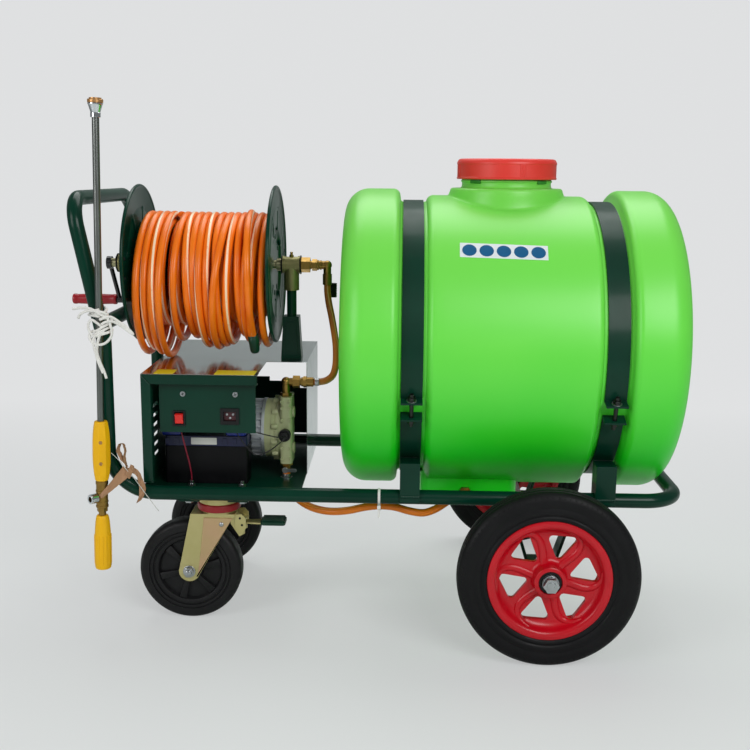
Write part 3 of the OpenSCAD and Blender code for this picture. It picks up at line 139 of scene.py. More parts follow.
# painted light: seen from the camera the paper glows, more towards the back and up the wall, which lightens it
# and softens its shadows
sweep_paper, tree, shader = start_material("sweep_paper", "#dce1df", 0.85)
glow = add(tree, "ShaderNodeEmission", {"Color": linear("#e3e4e5"), "Strength": 1.0})
seen = add(tree, "ShaderNodeLightPath")
spot = add(tree, "ShaderNodeTexCoord")
place = add(tree, "ShaderNodeSeparateXYZ", wires={0: spot.outputs["Object"]})
back = add(tree, "ShaderNodeMath", {"operation": "ADD"}, {0: place.outputs["Y"], 1: place.outputs["Z"]})
share = add(tree, "ShaderNodeMapRange", {"From Min": 0.3, "From Max": 1.8, "To Min": 0.52, "To Max": 0.94},
            {"Value": back.outputs[0]})
part = add(tree, "ShaderNodeMath", {"operation": "MULTIPLY"},
           {0: seen.outputs["Is Camera Ray"], 1: share.outputs[0]})
blend = add(tree, "ShaderNodeMixShader", wires={0: part.outputs[0], 1: shader.outputs[0], 2: glow.outputs[0]})
tree.links.new(blend.outputs[0], tree.nodes["Material Output"].inputs["Surface"])
paper_sweep.data.materials.append(sweep_paper)

world = bpy.data.worlds.new("studio_air")
world.use_nodes = True
world.node_tree.nodes["Background"].inputs["Color"].default_value = linear("#e9ebed")
world.node_tree.nodes["Background"].inputs["Strength"].default_value = 0.24
bpy.context.scene.world = world
bpy.context.scene.view_settings.view_transform = "Standard"


def soft_box(name, place, target, size, power):
    """A rectangular area light that faces the target."""
    lamp = bpy.data.lights.new(name, "AREA")
    lamp.shape = "RECTANGLE"
    lamp.size, lamp.size_y = size
    lamp.energy = power
    box = keep(name, lamp)
    box.location = place
    box.rotation_euler = (Vector(target) - Vector(place)).to_track_quat("-Z", "Y").to_euler()


soft_box("top_box", (0.1, 1.1, 2.9), (0.0, 0.1, 0.4), (2.8, 1.8), 50)
soft_box("key_box", (1.5, -2.6, 2.1), (0.1, 0.0, 0.5), (1.7, 1.5), 50)
soft_box("fill_box", (-2.3, -2.2, 1.6), (0.0, 0.0, 0.4), (1.4, 1.8), 30)


# ---- Free hoses ----
# Orange PVC hose with a woven ply inside and a pale stripe along it: extruded, smooth and glossy. The
# delivery hose and the suction hose are pushed on brass tails and clamped; four turns of the spray hose
# have slipped off the winding and hang beside it.

def tube(name, points, radius, sides=20, closed=False):
    """A mesh tube along the points; its UV runs round and, in metres, along it."""
    points = [Vector(p) for p in points]
    last = len(points) - 1
    heading = [(points[min(i + 1, last)] - points[max(i - 1, 0)]).normalized() for i in range(last + 1)]
    if closed:
        heading[0] = heading[last] = (points[1] - points[last - 1]).normalized()
    side = heading[0].orthogonal().normalized()
    radii = radius if isinstance(radius, (list, tuple)) else [radius] * (last + 1)
    verts, run, rings = [], 0.0, []
    for i, p in enumerate(points):
        if i:
            side = (side - heading[i] * side.dot(heading[i])).normalized()
            run += (p - points[i - 1]).length
        rings.append(run)
        other = heading[i].cross(side)
        for k in range(sides):
            a = 2 * math.pi * k / sides
            verts.append(p + radii[i] * (math.cos(a) * side + math.sin(a) * other))
    mesh = mesh_of(name, verts, ring_faces(last + 1, sides) + ([] if closed else end_caps(last + 1, sides)))
    layer = mesh.uv_layers.new(name="along")
    for face in mesh.polygons:
        face.use_smooth = len(face.vertices) == 4
        seam = any(v % sides == sides - 1 for v in face.vertices)
        for corner in face.loop_indices:
            ring, k = divmod(mesh.loops[corner].vertex_index, sides)
            layer.data[corner].uv = ((k + (sides if seam and k == 0 else 0)) / sides, rings[ring])
    return keep(name, mesh)


def metres(points):
    """Points given in millimetres, in metres."""
    return [(x / 1000, y / 1000, z / 1000) for x, y, z in points]


def smooth_path(points, steps=8):
    """A Catmull-Rom curve through the points."""
    points = [Vector(p) for p in points]
    ends = [2 * points[0] - points[1]] + points + [2 * points[-1] - points[-2]]
    out = []
    for i in range(1, len(ends) - 2):
        a, b, c, d = ends[i - 1:i + 3]
        for s in range(steps):
            t = s / steps
            out.append(0.5 * (2 * b + (c - a) * t + (2 * a - 5 * b + 4 * c - d) * t * t
                              + (3 * b - a - 3 * c + d) * t ** 3))
    return out + [points[-1]]


def dress(piece, material, body, *replaced):
    """Gives a piece its material and its body, and says which nodes it stands for."""
    piece.data.materials.clear()
    piece.data.materials.append(material)
    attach(piece, body)
    if replaced:
        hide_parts(*replaced)
    return piece


stripe_turns = 0.85


def hose_skin(name, colour, deep, stripe_colour, stripe):
    """Extruded PVC: glossy, deeper in patches, the ply faintly raised, with one pale stripe wound round it."""
    material, tree, shader = start_material(name, colour, 0.34, "hose_rubber", Specular_IOR_Level=0.35,
                                            Coat_Weight=0.15, Coat_Roughness=0.15)
    where = add(tree, "ShaderNodeTexCoord")
    parts = add(tree, "ShaderNodeSeparateXYZ", wires={0: where.outputs["UV"]})
    blotch = add(tree, "ShaderNodeTexNoise", {"Scale": 14.0, "Detail": 3.0},
                 {"Vector": where.outputs["Object"]})
    tint = add(tree, "ShaderNodeMix", {"data_type": "RGBA", 6: linear(deep), 7: linear(colour)},
               {0: blotch.outputs["Fac"]})
    drift = add(tree, "ShaderNodeMath", {"operation": "MULTIPLY_ADD", 1: stripe_turns},
                {0: parts.outputs["Y"], 2: parts.outputs["X"]})
    around = add(tree, "ShaderNodeMath", {"operation": "FRACT"}, {0: drift.outputs[0]})
    off = add(tree, "ShaderNodeMath", {"operation": "SUBTRACT", 1: 0.5}, {0: around.outputs[0]})
    near = add(tree, "ShaderNodeMath", {"operation": "ABSOLUTE"}, {0: off.outputs[0]})
    line = add(tree, "ShaderNodeMapRange", {"From Min": stripe, "From Max": stripe + 0.012, "To Min": 1.0,
                                            "To Max": 0.0}, {"Value": near.outputs[0]})
    wear = add(tree, "ShaderNodeTexNoise", {"Scale": 90.0, "Detail": 4.0},
               {"Vector": where.outputs["Object"]})
    kept = add(tree, "ShaderNodeMapRange", {"From Min": 0.3, "From Max": 0.42, "To Min": 0.55},
               {"Value": wear.outputs["Fac"]})
    mark = add(tree, "ShaderNodeMath", {"operation": "MULTIPLY"}, {0: line.outputs[0], 1: kept.outputs[0]})
    striped = add(tree, "ShaderNodeMix", {"data_type": "RGBA", 7: linear(stripe_colour)},
                  {0: mark.outputs[0], 6: tint.outputs[2]})
    tree.links.new(striped.outputs[2], shader.inputs["Base Color"])
    # the ply's threads lie 2 mm apart and cross the hose at a slant
    threads = add(tree, "ShaderNodeTexWave", {"wave_type": "BANDS", "bands_direction": "DIAGONAL",
                                              "Scale": 55.0, "Distortion": 0.6},
                  {"Vector": where.outputs["Object"]})
    bump = add(tree, "ShaderNodeBump", {"Strength": 0.05, "Distance": 0.0005},
               {"Height": threads.outputs["Fac"]})
    tree.links.new(bump.outputs[0], shader.inputs["Normal"])
    return material


spray_hose_pvc = hose_skin("spray_hose_pvc", "#ff8a12", "#ea6302", "#ffe2bd", 0.045)
suction_hose_pvc = hose_skin("suction_hose_pvc", "#f78c14", "#d96a08", "#ffb45c", 0.012)
delivery_hose_pvc = hose_skin("delivery_hose_pvc", "#c87a2c", "#9c5618", "#d8a468", 0.02)

delivery_route = [
    (-101, -88, 477), (-89, -88, 477.5), (-75, -86.5, 480.5), (-63, -82, 489.5), (-58, -73, 504),
    (-57, -60, 524), (-59, -44, 549), (-64, -27, 574), (-70, -12, 601), (-76, -3, 626), (-79, 0, 648),
    (-79.5, 0, 664)]
suction_route = [
    (187, -168, 263), (177, -168, 262.5), (163, -169, 253), (146, -170, 242), (123, -170, 234),
    (96, -170, 237), (66, -170, 245), (36, -170, 247), (6, -169, 243), (-24, -166, 235), (-54, -160, 230),
    (-81, -150, 229), (-106, -136, 232), (-127, -120, 239), (-143, -105, 249), (-152, -94, 262),
    (-155.5, -89, 276), (-156, -88, 290)]
for name, route, radius, skin, solid in (
        ("delivery_hose_run", delivery_route, 0.007, delivery_hose_pvc, "delivery_hose"),
        ("suction_hose_run", suction_route, 0.0075, suction_hose_pvc, "suction_hose")):
    path = smooth_path(metres(route), 4)
    hose = dress(tube(name, path, radius, 24), skin, "chassis", solid)

reel_axis = 0.704
reel_front = -0.189
reel_rear = -0.4575
hose_radius = 0.007
winding_radius = 0.099


def loop_point(x, r, a):
    """A point of a loop, a radians past its top towards the near side."""
    return (x, -r * math.sin(a), reel_axis + r * math.cos(a))


turn_points = 48
slack_turns, slack_pitch = 4, 0.01505
slack_start = reel_front - 0.009 - 0.01475 * 12 - 0.015
slack_path = []
for i in range(slack_turns * turn_points + 1):
    t = 2 * math.pi * i / turn_points
    a = t - math.radians(40)
    sag = 0.108 + 0.010 * math.sin(math.radians(math.degrees(t) * 0.27 + 20))
    hang = ((1 - math.cos(a)) / 2) ** 1.6 * (1 + 0.25 * math.sin(a)) * 0.72
    slack_path.append(loop_point(slack_start - slack_pitch * i / turn_points,
                                 winding_radius + 0.001 + sag * hang, a))
slack = dress(tube("hose_slack_turns", slack_path, hose_radius, 18), spray_hose_pvc, "chassis", "hose_slack")


# ---- Wound hose ----
# Two layers of the same hose on the drum, wound by hand: the turns lean, cross and hang unevenly. They
# push each other aside until they only touch. The free end hangs down with a ribbed coupling on it.

def part_turns(points, gap, apart, rounds, low_x, high_x, least):
    """Pushes turns of a winding apart until no two of them are closer than the gap."""
    start = np.array(points)
    moved = np.zeros_like(start)
    count = len(start)
    far = np.abs(np.arange(count)[:, None] - np.arange(count)[None, :]) > apart
    for _ in range(rounds):
        now = start + moved
        away = now[:, None, :] - now[None, :, :]
        span = np.sqrt((away ** 2).sum(axis=2)) + 1e-9
        short = np.where(far & (span < gap), gap - span, 0.0)
        push = (away / span[:, :, None] * short[:, :, None] * 0.5).sum(axis=1)
        moved += 0.45 * push
        moved[1:-1] = 0.5 * moved[1:-1] + 0.25 * (moved[:-2] + moved[2:])
        now = start + moved
        now[:, 0] = np.clip(now[:, 0], low_x, high_x)
        reach = np.sqrt(now[:, 1] ** 2 + (now[:, 2] - reel_axis) ** 2)
        grow = np.clip(reach, least, None) / reach
        now[:, 1] *= grow
        now[:, 2] = reel_axis + (now[:, 2] - reel_axis) * grow
        moved = now - start
    return [tuple(p) for p in start + moved]


def loose_winding(turns, start_x, pitch, top_r, hang_low, hang_high, lean, seed):
    """A hand-wound layer: each turn has its own place at the top and at the bottom, and its own hang."""
    pick = random.Random(seed)
    tops = [start_x - pitch * k + pick.uniform(-0.0045, 0.0045) for k in range(turns + 2)]
    lows = [start_x - pitch * (k + 0.5) + pick.uniform(-lean, lean) for k in range(turns + 2)]
    hangs = [pick.uniform(hang_low, hang_high) for k in range(turns + 2)]
    out = []
    for i in range(turns * turn_points + 1):
        k, part = divmod(i, turn_points)
        a = 2 * math.pi * part / turn_points
        fall = (1 - math.cos(a)) / 2
        top = tops[k] if part <= turn_points / 2 else tops[k + 1]
        out.append(loop_point(top + (lows[k] - top) * fall, top_r + hangs[k] * fall ** 1.35, a))
    return out


inner_layer = loose_winding(17, reel_front - 0.011, 0.0149, 0.084, 0.012, 0.040, 0.004, 3)
dress(tube("hose_winding_inner", inner_layer, hose_radius, 12), spray_hose_pvc, "reel")
outer_layer = loose_winding(12, reel_front - 0.012, 0.0148, winding_radius, 0.042, 0.081, 0.019, 23)
outer_layer = part_turns(outer_layer, 0.0142, turn_points // 2, 60, reel_rear + 0.080, reel_front - 0.0085,
                         0.0975)
dress(tube("hose_winding_outer", outer_layer, hose_radius, 16), spray_hose_pvc, "reel", "hose_winding")

tail_loop = [loop_point(x, r, a) for x, r, a in ((-0.232, 0.098, -0.3), (-0.231, 0.108, 0.25),
                                                 (-0.228, 0.124, 0.9), (-0.224, 0.141, 1.5),
                                                 (-0.222, 0.153, 2.1))]
tail_route = smooth_path(tail_loop + [(-0.221, -0.084, 0.566)])
dress(tube("hose_tail", tail_route, hose_radius, 18), spray_hose_pvc, "reel")
coupling_route = [
    (-0.2215, -0.087, 0.575), (-0.2213, -0.0845, 0.568), (-0.221, -0.082, 0.561), (-0.2208, -0.078, 0.552),
    (-0.2205, -0.071, 0.539), (-0.2205, -0.069, 0.535)]
coupling_radii = [0.0085, 0.0112, 0.0116, 0.0104, 0.0098, 0.0088]
coupling_enamel = start_material("coupling_enamel", "#0d3a2a", 0.3, "green_paint")[0]
dress(tube("hose_tail_coupling", coupling_route, coupling_radii, 20), coupling_enamel, "reel")


# ---- Bent frame ----
# One loop of 28 mm steel tube, bent cold and welded shut, with two flat bars across it over the casters
# and a brace between the uprights. Everything is powder coated in a deep, glossy bottle green.

sharp_edge = 32
home = {n: body for body, names in frame["record"]["behaviour"]["bodies"].items() for n in names}


def coat(name, colour, deep, roughness, cloud=9.0, grain=650.0, relief=0.0004, strength=0.05, rough_to=None,
         stretch=None, slot=None, **sockets):
    """A surface that drifts softly to a deeper colour, with a fine relief of its own scale.

    Cloud and grain are scales per metre and relief is a depth in metres; rough_to is the sheen's duller end.
    """
    material, tree, shader = start_material(name, colour, roughness, slot, **sockets)
    where = add(tree, "ShaderNodeTexCoord").outputs["Object"]
    if stretch:
        where = add(tree, "ShaderNodeMapping", {"Scale": stretch}, {"Vector": where}).outputs["Vector"]
    drift = add(tree, "ShaderNodeTexNoise", {"Scale": cloud, "Detail": 4.0}, {"Vector": where})
    tint = add(tree, "ShaderNodeMix", {"data_type": "RGBA", 6: linear(deep), 7: linear(colour)},
               {0: drift.outputs["Fac"]})
    tree.links.new(tint.outputs[2], shader.inputs["Base Color"])
    skin = add(tree, "ShaderNodeTexNoise", {"Scale": grain, "Detail": 2.0}, {"Vector": where})
    if rough_to is not None:
        patches = add(tree, "ShaderNodeTexNoise", {"Scale": cloud * 2.3, "Detail": 5.0}, {"Vector": where})
        rough = add(tree, "ShaderNodeMapRange", {"From Min": 0.35, "From Max": 0.65, "To Min": roughness,
                                                 "To Max": rough_to}, {"Value": patches.outputs["Fac"]})
        tree.links.new(rough.outputs[0], shader.inputs["Roughness"])
    bump = add(tree, "ShaderNodeBump", {"Strength": strength, "Distance": relief},
               {"Height": skin.outputs["Fac"]})
    tree.links.new(bump.outputs[0], shader.inputs["Normal"])
    return material


def crease(mesh, degrees):
    """Points the faces outward, smooths curves and keeps the edges that are sharper than the angle."""
    form = bmesh.new()
    form.from_mesh(mesh)
    bmesh.ops.recalc_face_normals(form, faces=form.faces)
    for face in form.faces:
        face.smooth = True
    for edge in form.edges:
        edge.smooth = edge.calc_face_angle(0.0) < math.radians(degrees)
    form.to_mesh(mesh)
    form.free()
    return mesh


def plain_copy(piece, name):
    """The evaluated piece as a plain mesh of its own; the piece itself goes."""
    seen = piece.evaluated_get(bpy.context.evaluated_depsgraph_get())
    mesh = bpy.data.meshes.new_from_object(seen)
    mesh.name = name
    bpy.data.objects.remove(piece)
    return keep(name, mesh)


def round_edges(piece, width, degrees, segments=2, harden=True):
    """Bevels the edges of a piece that are sharper than the angle."""
    bevel = piece.modifiers.new("edge", "BEVEL")
    bevel.limit_method = "ANGLE"
    bevel.angle_limit = math.radians(degrees)
    bevel.width = width
    bevel.segments = segments
    bevel.harden_normals = harden


def eased(node, material, edge):
    """A copy of a solid with joined points, rounded edges and smooth curves, in the node's place."""
    mesh = nodes[node].data.copy()
    if mesh.attributes.get("custom_normal"):
        mesh.attributes.remove(mesh.attributes["custom_normal"])
    form = bmesh.new()
    form.from_mesh(mesh)
    bmesh.ops.remove_doubles(form, verts=form.verts, dist=3e-6)
    bmesh.ops.dissolve_limit(form, angle_limit=math.radians(0.5), verts=form.verts, edges=form.edges)
    form.to_mesh(mesh)
    form.free()
    crease(mesh, sharp_edge)
    piece = keep(node + "_eased", mesh)
    round_edges(piece, edge, sharp_edge)
    return dress(plain_copy(piece, node + "_finished"), material, home[node], node)


def filleted(points, radii, step=0.012):
    """A path through the corners, rounded with the given radii and cut into short, even steps."""
    points = [Vector(p) for p in points]
    out = []
    for i, p in enumerate(points):
        r = radii[i]
        if r == 0:
            out.append(p)
            continue
        u = (p - points[i - 1]).normalized()
        v = (points[(i + 1) % len(points)] - p).normalized()
        turn = u.angle(v)
        back = r * math.tan(turn / 2)
        middle = p - u * back + (v - u * u.dot(v)).normalized() * r
        first, last = p - u * back - middle, p + v * back - middle
        parts = max(6, int(r * turn / 0.006))
        for k in range(parts + 1):
            f = k / parts
            swung = first * math.sin((1 - f) * turn) + last * math.sin(f * turn)
            out.append(middle + swung / math.sin(turn))
    fine = [out[0]]
    for p in out[1:]:
        gap = (p - fine[-1]).length
        parts = max(1, int(gap / step)) if gap > 0.03 else 1
        start = fine[-1]
        fine += [start.lerp(p, (k + 1) / parts) for k in range(parts)]
    return fine


# a fine orange peel of about 1.5 mm breaks the gloss
green_powder_coat = coat(
    "green_powder_coat", "#033c2b", "#02281d", 0.28, Specular_IOR_Level=0.15, Coat_Weight=0.15,
    Coat_Roughness=0.08, slot="green_paint")
tube_r = 0.014
rail_y = 0.208
rail_z = 0.2785
kink = (-0.486, 0.579)
hoop_top = (-0.5389, 0.839)
half_loop = [((0.6145, rail_z), 0.070), ((-0.486, rail_z), 0.090), (kink, 0.120), (hoop_top, 0.055)]
corners = [((0.6145, 0, rail_z), 0)]
corners += [((x, -rail_y, z), r) for (x, z), r in half_loop]
corners += [((x, rail_y, z), r) for (x, z), r in reversed(half_loop)]
corners += [((0.6145, 0, rail_z), 0)]
frame_path = filleted([c[0] for c in corners], [c[1] for c in corners])
dress(tube("frame_loop", frame_path, tube_r, 32, closed=True), green_powder_coat, "chassis", "frame_tube")
for node in ("crossbars", "handle_brace", "axle_brackets", "strap_posts"):
    eased(node, green_powder_coat, 0.0012)


def fixings_tree():
    """Sets one small shape on every point: its Z along the point's facing, its X as upright as it can be."""
    tree = bpy.data.node_groups.new("fixings", "GeometryNodeTree")
    for name, kind in (("Points", "NodeSocketGeometry"), ("Shape", "NodeSocketObject"),
                       ("Size", "NodeSocketFloat"), ("Turn", "NodeSocketFloat"),
                       ("Finish", "NodeSocketMaterial")):
        tree.interface.new_socket(name=name, in_out="INPUT", socket_type=kind)
    tree.interface.new_socket(name="Geometry", in_out="OUTPUT", socket_type="NodeSocketGeometry")
    given = add(tree, "NodeGroupInput")
    attribute = "GeometryNodeInputNamedAttribute"
    facing, upright = (add(tree, attribute, {"data_type": "FLOAT_VECTOR", "Name": name})
                       for name in ("facing", "upright"))
    out = add(tree, "FunctionNodeAlignRotationToVector", {"axis": "Z"},
              {"Vector": facing.outputs["Attribute"]})
    along = add(tree, "FunctionNodeAlignRotationToVector", {"axis": "X", "pivot_axis": "Z"},
                {"Rotation": out.outputs["Rotation"], "Vector": upright.outputs["Attribute"]})
    spin = add(tree, "ShaderNodeCombineXYZ", wires={"Z": given.outputs["Turn"]})
    turned = add(tree, "FunctionNodeRotateRotation", {"rotation_space": "LOCAL"},
                 {"Rotation": along.outputs["Rotation"], "Rotate By": spin.outputs[0]})
    shape = add(tree, "GeometryNodeObjectInfo", {"transform_space": "ORIGINAL"},
                {"Object": given.outputs["Shape"]})
    placed = add(tree, "GeometryNodeInstanceOnPoints", wires={
        "Points": given.outputs["Points"], "Instance": shape.outputs["Geometry"],
        "Rotation": turned.outputs["Rotation"], "Scale": given.outputs["Size"]})
    real = add(tree, "GeometryNodeRealizeInstances", wires={"Geometry": placed.outputs["Instances"]})
    painted = add(tree, "GeometryNodeSetMaterial", wires={"Geometry": real.outputs["Geometry"],
                                                          "Material": given.outputs["Finish"]})
    add(tree, "NodeGroupOutput", wires={"Geometry": painted.outputs["Geometry"]})
    return tree


fixings = fixings_tree()


def set_out(name, shape, places, material, body, size=1.0, turn=0.0):
    """Copies of a small shape at the places, each a point and the direction that it faces."""
    mesh = mesh_of(name + "_points", [p for p, d in places])
    for label in ("facing", "upright"):
        mesh.attributes.new(label, "FLOAT_VECTOR", "POINT")
    for i, (p, d) in enumerate(places):
        way = Vector(d).normalized()
        mesh.attributes["facing"].data[i].vector = way
        mesh.attributes["upright"].data[i].vector = (0, 0, 1) if abs(way.z) < 0.9 else (1, 0, 0)
    piece = keep(name + "_points", mesh)
    rule = piece.modifiers.new("set_out", "NODES")
    rule.node_group = fixings
    for item in fixings.interface.items_tree:
        if item.item_type == "SOCKET" and item.in_out == "INPUT" and item.name != "Points":
            rule[item.identifier] = {"Shape": shape, "Size": size, "Turn": turn,
                                     "Finish": material}[item.name]
    piece = plain_copy(piece, name)
    crease(piece.data, 35)
    return dress(piece, material, body)


def turned_shape(name, outline, sides=24, flats=()):
    """A small shape turned about Z from (radius, height) pairs; flats names the rings that are hexagons."""
    verts = []
    for j, (r, z) in enumerate(outline):
        for k in range(sides):
            a = 2 * math.pi * k / sides
            reach = r
            if j in flats:
                reach = r / math.cos((a + math.pi / 6) % (math.pi / 3) - math.pi / 6)
            verts.append((reach * math.cos(a), reach * math.sin(a), z))
    mesh = mesh_of(name, verts, ring_faces(len(outline), sides) + end_caps(len(outline), sides))
    return bpy.data.objects.new(name, crease(mesh, 35))


# weld beads: short overlapping drops of metal where the posts, the bars and the brace meet the tube
weld_drop = turned_shape("weld_drop", [
    (0.0016, -0.0012), (0.003, 0.0), (0.0022, 0.0016), (0.0008, 0.0022)], 10)
weld_step = 0.0032
strap_places = (0.0945, 0.4665)
brace_x, brace_z, brace_weld_r = -0.4912, 0.6045, 0.0142
welds = []
for s in (-1, 1):
    for k in range(26):
        a = 2 * math.pi * k / 26
        welds.append(((brace_x + brace_weld_r * math.cos(a), s * 0.1935,
                       brace_z + brace_weld_r * math.sin(a)), (0, s, 0)))
    welds += [((x - 0.0175 + weld_step * k, s * 0.2215, 0.2715), (0, s, -0.6)) for x in strap_places
              for k in range(12)]
for x in (-0.333, -0.238):
    for s in (-1, 1):
        welds += [((x - 0.016 + weld_step * k, s * 0.1965, 0.2755), (0, -s, 0.8)) for k in range(11)]
set_out("frame_welds", weld_drop, welds, green_powder_coat, "chassis")


# ---- Front axle and wheels ----
# A fixed steel axle sits in two pressed brackets. Each wheel is a red enamelled cast rim with six windows
# and swept ribs between them, a solid black rubber tyre, and a ball bearing under a nut and washer.

def lathe(name, outline, place, along, sides=128, sharp=30):
    """A ring turned about an axis through the place; the outline runs in (radius, height) pairs."""
    axis = Vector(along).normalized()
    first = axis.orthogonal().normalized() if abs(axis.x) < 0.9 else Vector((0, 0, 1))
    other = axis.cross(first)
    verts = []
    for r, h in outline:
        for k in range(sides):
            a = 2 * math.pi * k / sides
            ray = math.cos(a) * first + math.sin(a) * other
            verts.append(Vector(place) + axis * h + max(r, 1e-5) * ray)
    mesh = mesh_of(name, verts, ring_faces(len(outline), sides))
    form = bmesh.new()
    form.from_mesh(mesh)
    ring = outline[0] == outline[-1]
    bmesh.ops.remove_doubles(form, verts=form.verts, dist=1e-6 if ring else 4e-5)
    form.to_mesh(mesh)
    form.free()
    return keep(name, crease(mesh, sharp))


def slab(name, outline, at, u, v, thick, edge, segments=2):
    """A plate whose outline lies in the u and v directions; its thickness goes along u x v."""
    u, v = Vector(u).normalized(), Vector(v).normalized()
    up = u.cross(v)
    n = len(outline)
    verts = [Vector(at) + u * a + v * b + up * h for h in (0, thick) for a, b in outline]
    faces = [tuple(range(n - 1, -1, -1)), tuple(range(n, 2 * n))]
    faces += ring_faces(2, n)
    piece = keep(name + "_raw", crease(mesh_of(name, verts, faces), 28))
    if edge:
        round_edges(piece, edge, 40, segments)
    return plain_copy(piece, name)


flat = ((1, 0, 0), (0, 1, 0))
standing = ((1, 0, 0), (0, 0, 1))


def round_corner(centre, radius, start, stop, parts=8):
    """Points of an arc in the outline's plane, from one angle to another, in degrees."""
    turns = [math.radians(start + (stop - start) * k / parts) for k in range(parts + 1)]
    return [(centre[0] + radius * math.cos(a), centre[1] + radius * math.sin(a)) for a in turns]


def mirrored(side_line):
    """A section's second half: the first one backwards, with its heights turned round."""
    return [(r, -h) for r, h in reversed(side_line)]


def band(bore, reach, half, ease_r=0.0004, ease_h=0.0004):
    """The closed section of a ring with eased outer edges, about the middle of its height."""
    return [(bore, -half), (reach - ease_r, -half), (reach, ease_h - half), (reach, half - ease_h),
            (reach - ease_r, half), (bore, half), (bore, -half)]


# machined bars, nuts and screws: plain zinc with faint turning marks
bright_steel = coat(
    "bright_zinc_steel", "#c3c6c8", "#9da1a4", 0.26, cloud=40, grain=900, relief=0.0003, strength=0.12,
    rough_to=0.4, Metallic=1.0, slot="steel")
# cast rims in thick enamel: glossy, with a soft ripple of 4 mm
red_enamel = coat(
    "red_wheel_enamel", "#cf031b", "#a80014", 0.28, cloud=12, grain=240, relief=0.0006, strength=0.06,
    rough_to=0.38, Specular_IOR_Level=0.35, Coat_Weight=0.2, Coat_Roughness=0.12, slot="red_paint")
# solid rubber: grey bloom in patches, a grain of 1 mm drawn as 2 mm so that it shows
tyre_rubber = coat(
    "tyre_rubber", "#151517", "#060607", 0.38, cloud=11, grain=480, relief=0.0005, strength=0.22,
    rough_to=0.6, Specular_IOR_Level=0.2, slot="tyre_rubber")
hub_x, hub_z, wheel_y, wheel_r = 0.3495, 0.168, 0.325, 0.168
eased("front_axle", bright_steel, 0.0006)
tyre_half, shoulder_r = 0.026, 0.018
tyre_side = [
    (0.1143, -0.0225), (0.1165, -0.0245), (0.1205, -0.0248), (0.1225, -0.0232), (0.1245, -0.0232),
    (0.1265, -0.0252), (0.1345, -0.026), (0.1375, -0.0246), (0.1395, -0.0246), (0.1425, -0.026)]
tyre_side += round_corner((wheel_r - shoulder_r, shoulder_r - tyre_half), shoulder_r, -90, -24, 7)
tyre_side += [
    (0.1668, -0.0118), (0.1650, -0.0108), (0.1650, -0.0092), (0.1672, -0.0082), (0.168, -0.0052),
    (0.168, -0.0032), (0.1656, -0.0022)]
tyre_outline = tyre_side + mirrored(tyre_side) + tyre_side[:1]
shoulder_tick = turned_shape("shoulder_tick", [(0.0022, -0.0012), (0.0022, 0.0002), (0.0016, 0.0008)], 8)
black_seal = coat(
    "bearing_seal_rubber", "#121213", "#0a0a0b", 0.4, cloud=60, grain=500, relief=0.0003, strength=0.1,
    Specular_IOR_Level=0.3)
# the rim's section, from the bearing's seat over the hub, the web and the bed to the rolled edge
rim_side = [
    (0.0212, 0.0215), (0.0212, 0.0300), (0.0222, 0.0310), (0.0275, 0.0310), (0.0290, 0.0298),
    (0.0296, 0.0150), (0.0312, 0.0095), (0.0350, 0.0060), (0.0400, 0.0046), (0.0800, 0.0046),
    (0.0880, 0.0060), (0.0935, 0.0100), (0.0968, 0.0160), (0.0985, 0.0200), (0.1010, 0.0226),
    (0.1050, 0.0238), (0.1100, 0.0238), (0.1132, 0.0230), (0.1142, 0.0214)]
rim_section = rim_side + mirrored(rim_side) + rim_side[:1]
# windows: corners as radius and degrees; ridges: radius, degrees, height over the web and half width
window_turn, window_round = 12, 0.0072
window_corners = ((0.0335, -9.5), (0.0965, -17.0), (0.0825, 22.0))
ridge_line = (
    (0.0260, -22.0, 0.0030, 0.0092), (0.0380, -25.0, 0.0008, 0.0088), (0.0490, -27.0, 0.0002, 0.0086),
    (0.0600, -28.0, 0.0002, 0.0084), (0.0700, -27.5, 0.0002, 0.0082), (0.0800, -25.0, 0.0010, 0.0076),
    (0.0880, -21.0, 0.0028, 0.0068), (0.0935, -15.5, 0.0060, 0.0060), (0.0968, -9.0, 0.0098, 0.0050),
    (0.0985, -2.0, 0.0130, 0.0038))


def spot_on(at, r, degrees, y):
    """A point of a wheel: its radius, its angle as seen from the near side, and its place along the axle."""
    return Vector(at) + Vector((r * math.cos(math.radians(degrees)), y, r * math.sin(math.radians(degrees))))


def joined(name, pieces):
    """One mesh of several; the pieces themselves go."""
    form = bmesh.new()
    for piece in pieces:
        form.from_mesh(piece.data)
        bpy.data.objects.remove(piece)
    mesh = bpy.data.meshes.new(name)
    form.to_mesh(mesh)
    form.free()
    return keep(name, crease(mesh, 35))


def cast_rim(name, at):
    """The turned rim with six round-cornered windows cut through its web and their edges eased."""
    rim = lathe(name + "_blank", rim_section, at, (0, 1, 0), 132)
    windows = []
    for k in range(6):
        corners = [spot_on((0, 0, 0), r, window_turn + 60 * k + a, 0) for r, a in window_corners]
        outline = [(p.x, p.z) for p in filleted(corners, [window_round] * 3)]
        windows.append(slab("window", outline, Vector(at) + Vector((0, 0.016, 0)), *standing, 0.032, 0))
    cutter = joined(name + "_windows", windows)
    cut = rim.modifiers.new("windows", "BOOLEAN")
    cut.operation = "DIFFERENCE"
    cut.solver = "EXACT"
    cut.object = cutter
    round_edges(rim, 0.0018, 50, 3, False)
    rim = plain_copy(rim, name)
    bpy.data.objects.remove(cutter)
    crease(rim.data, 40)
    return rim


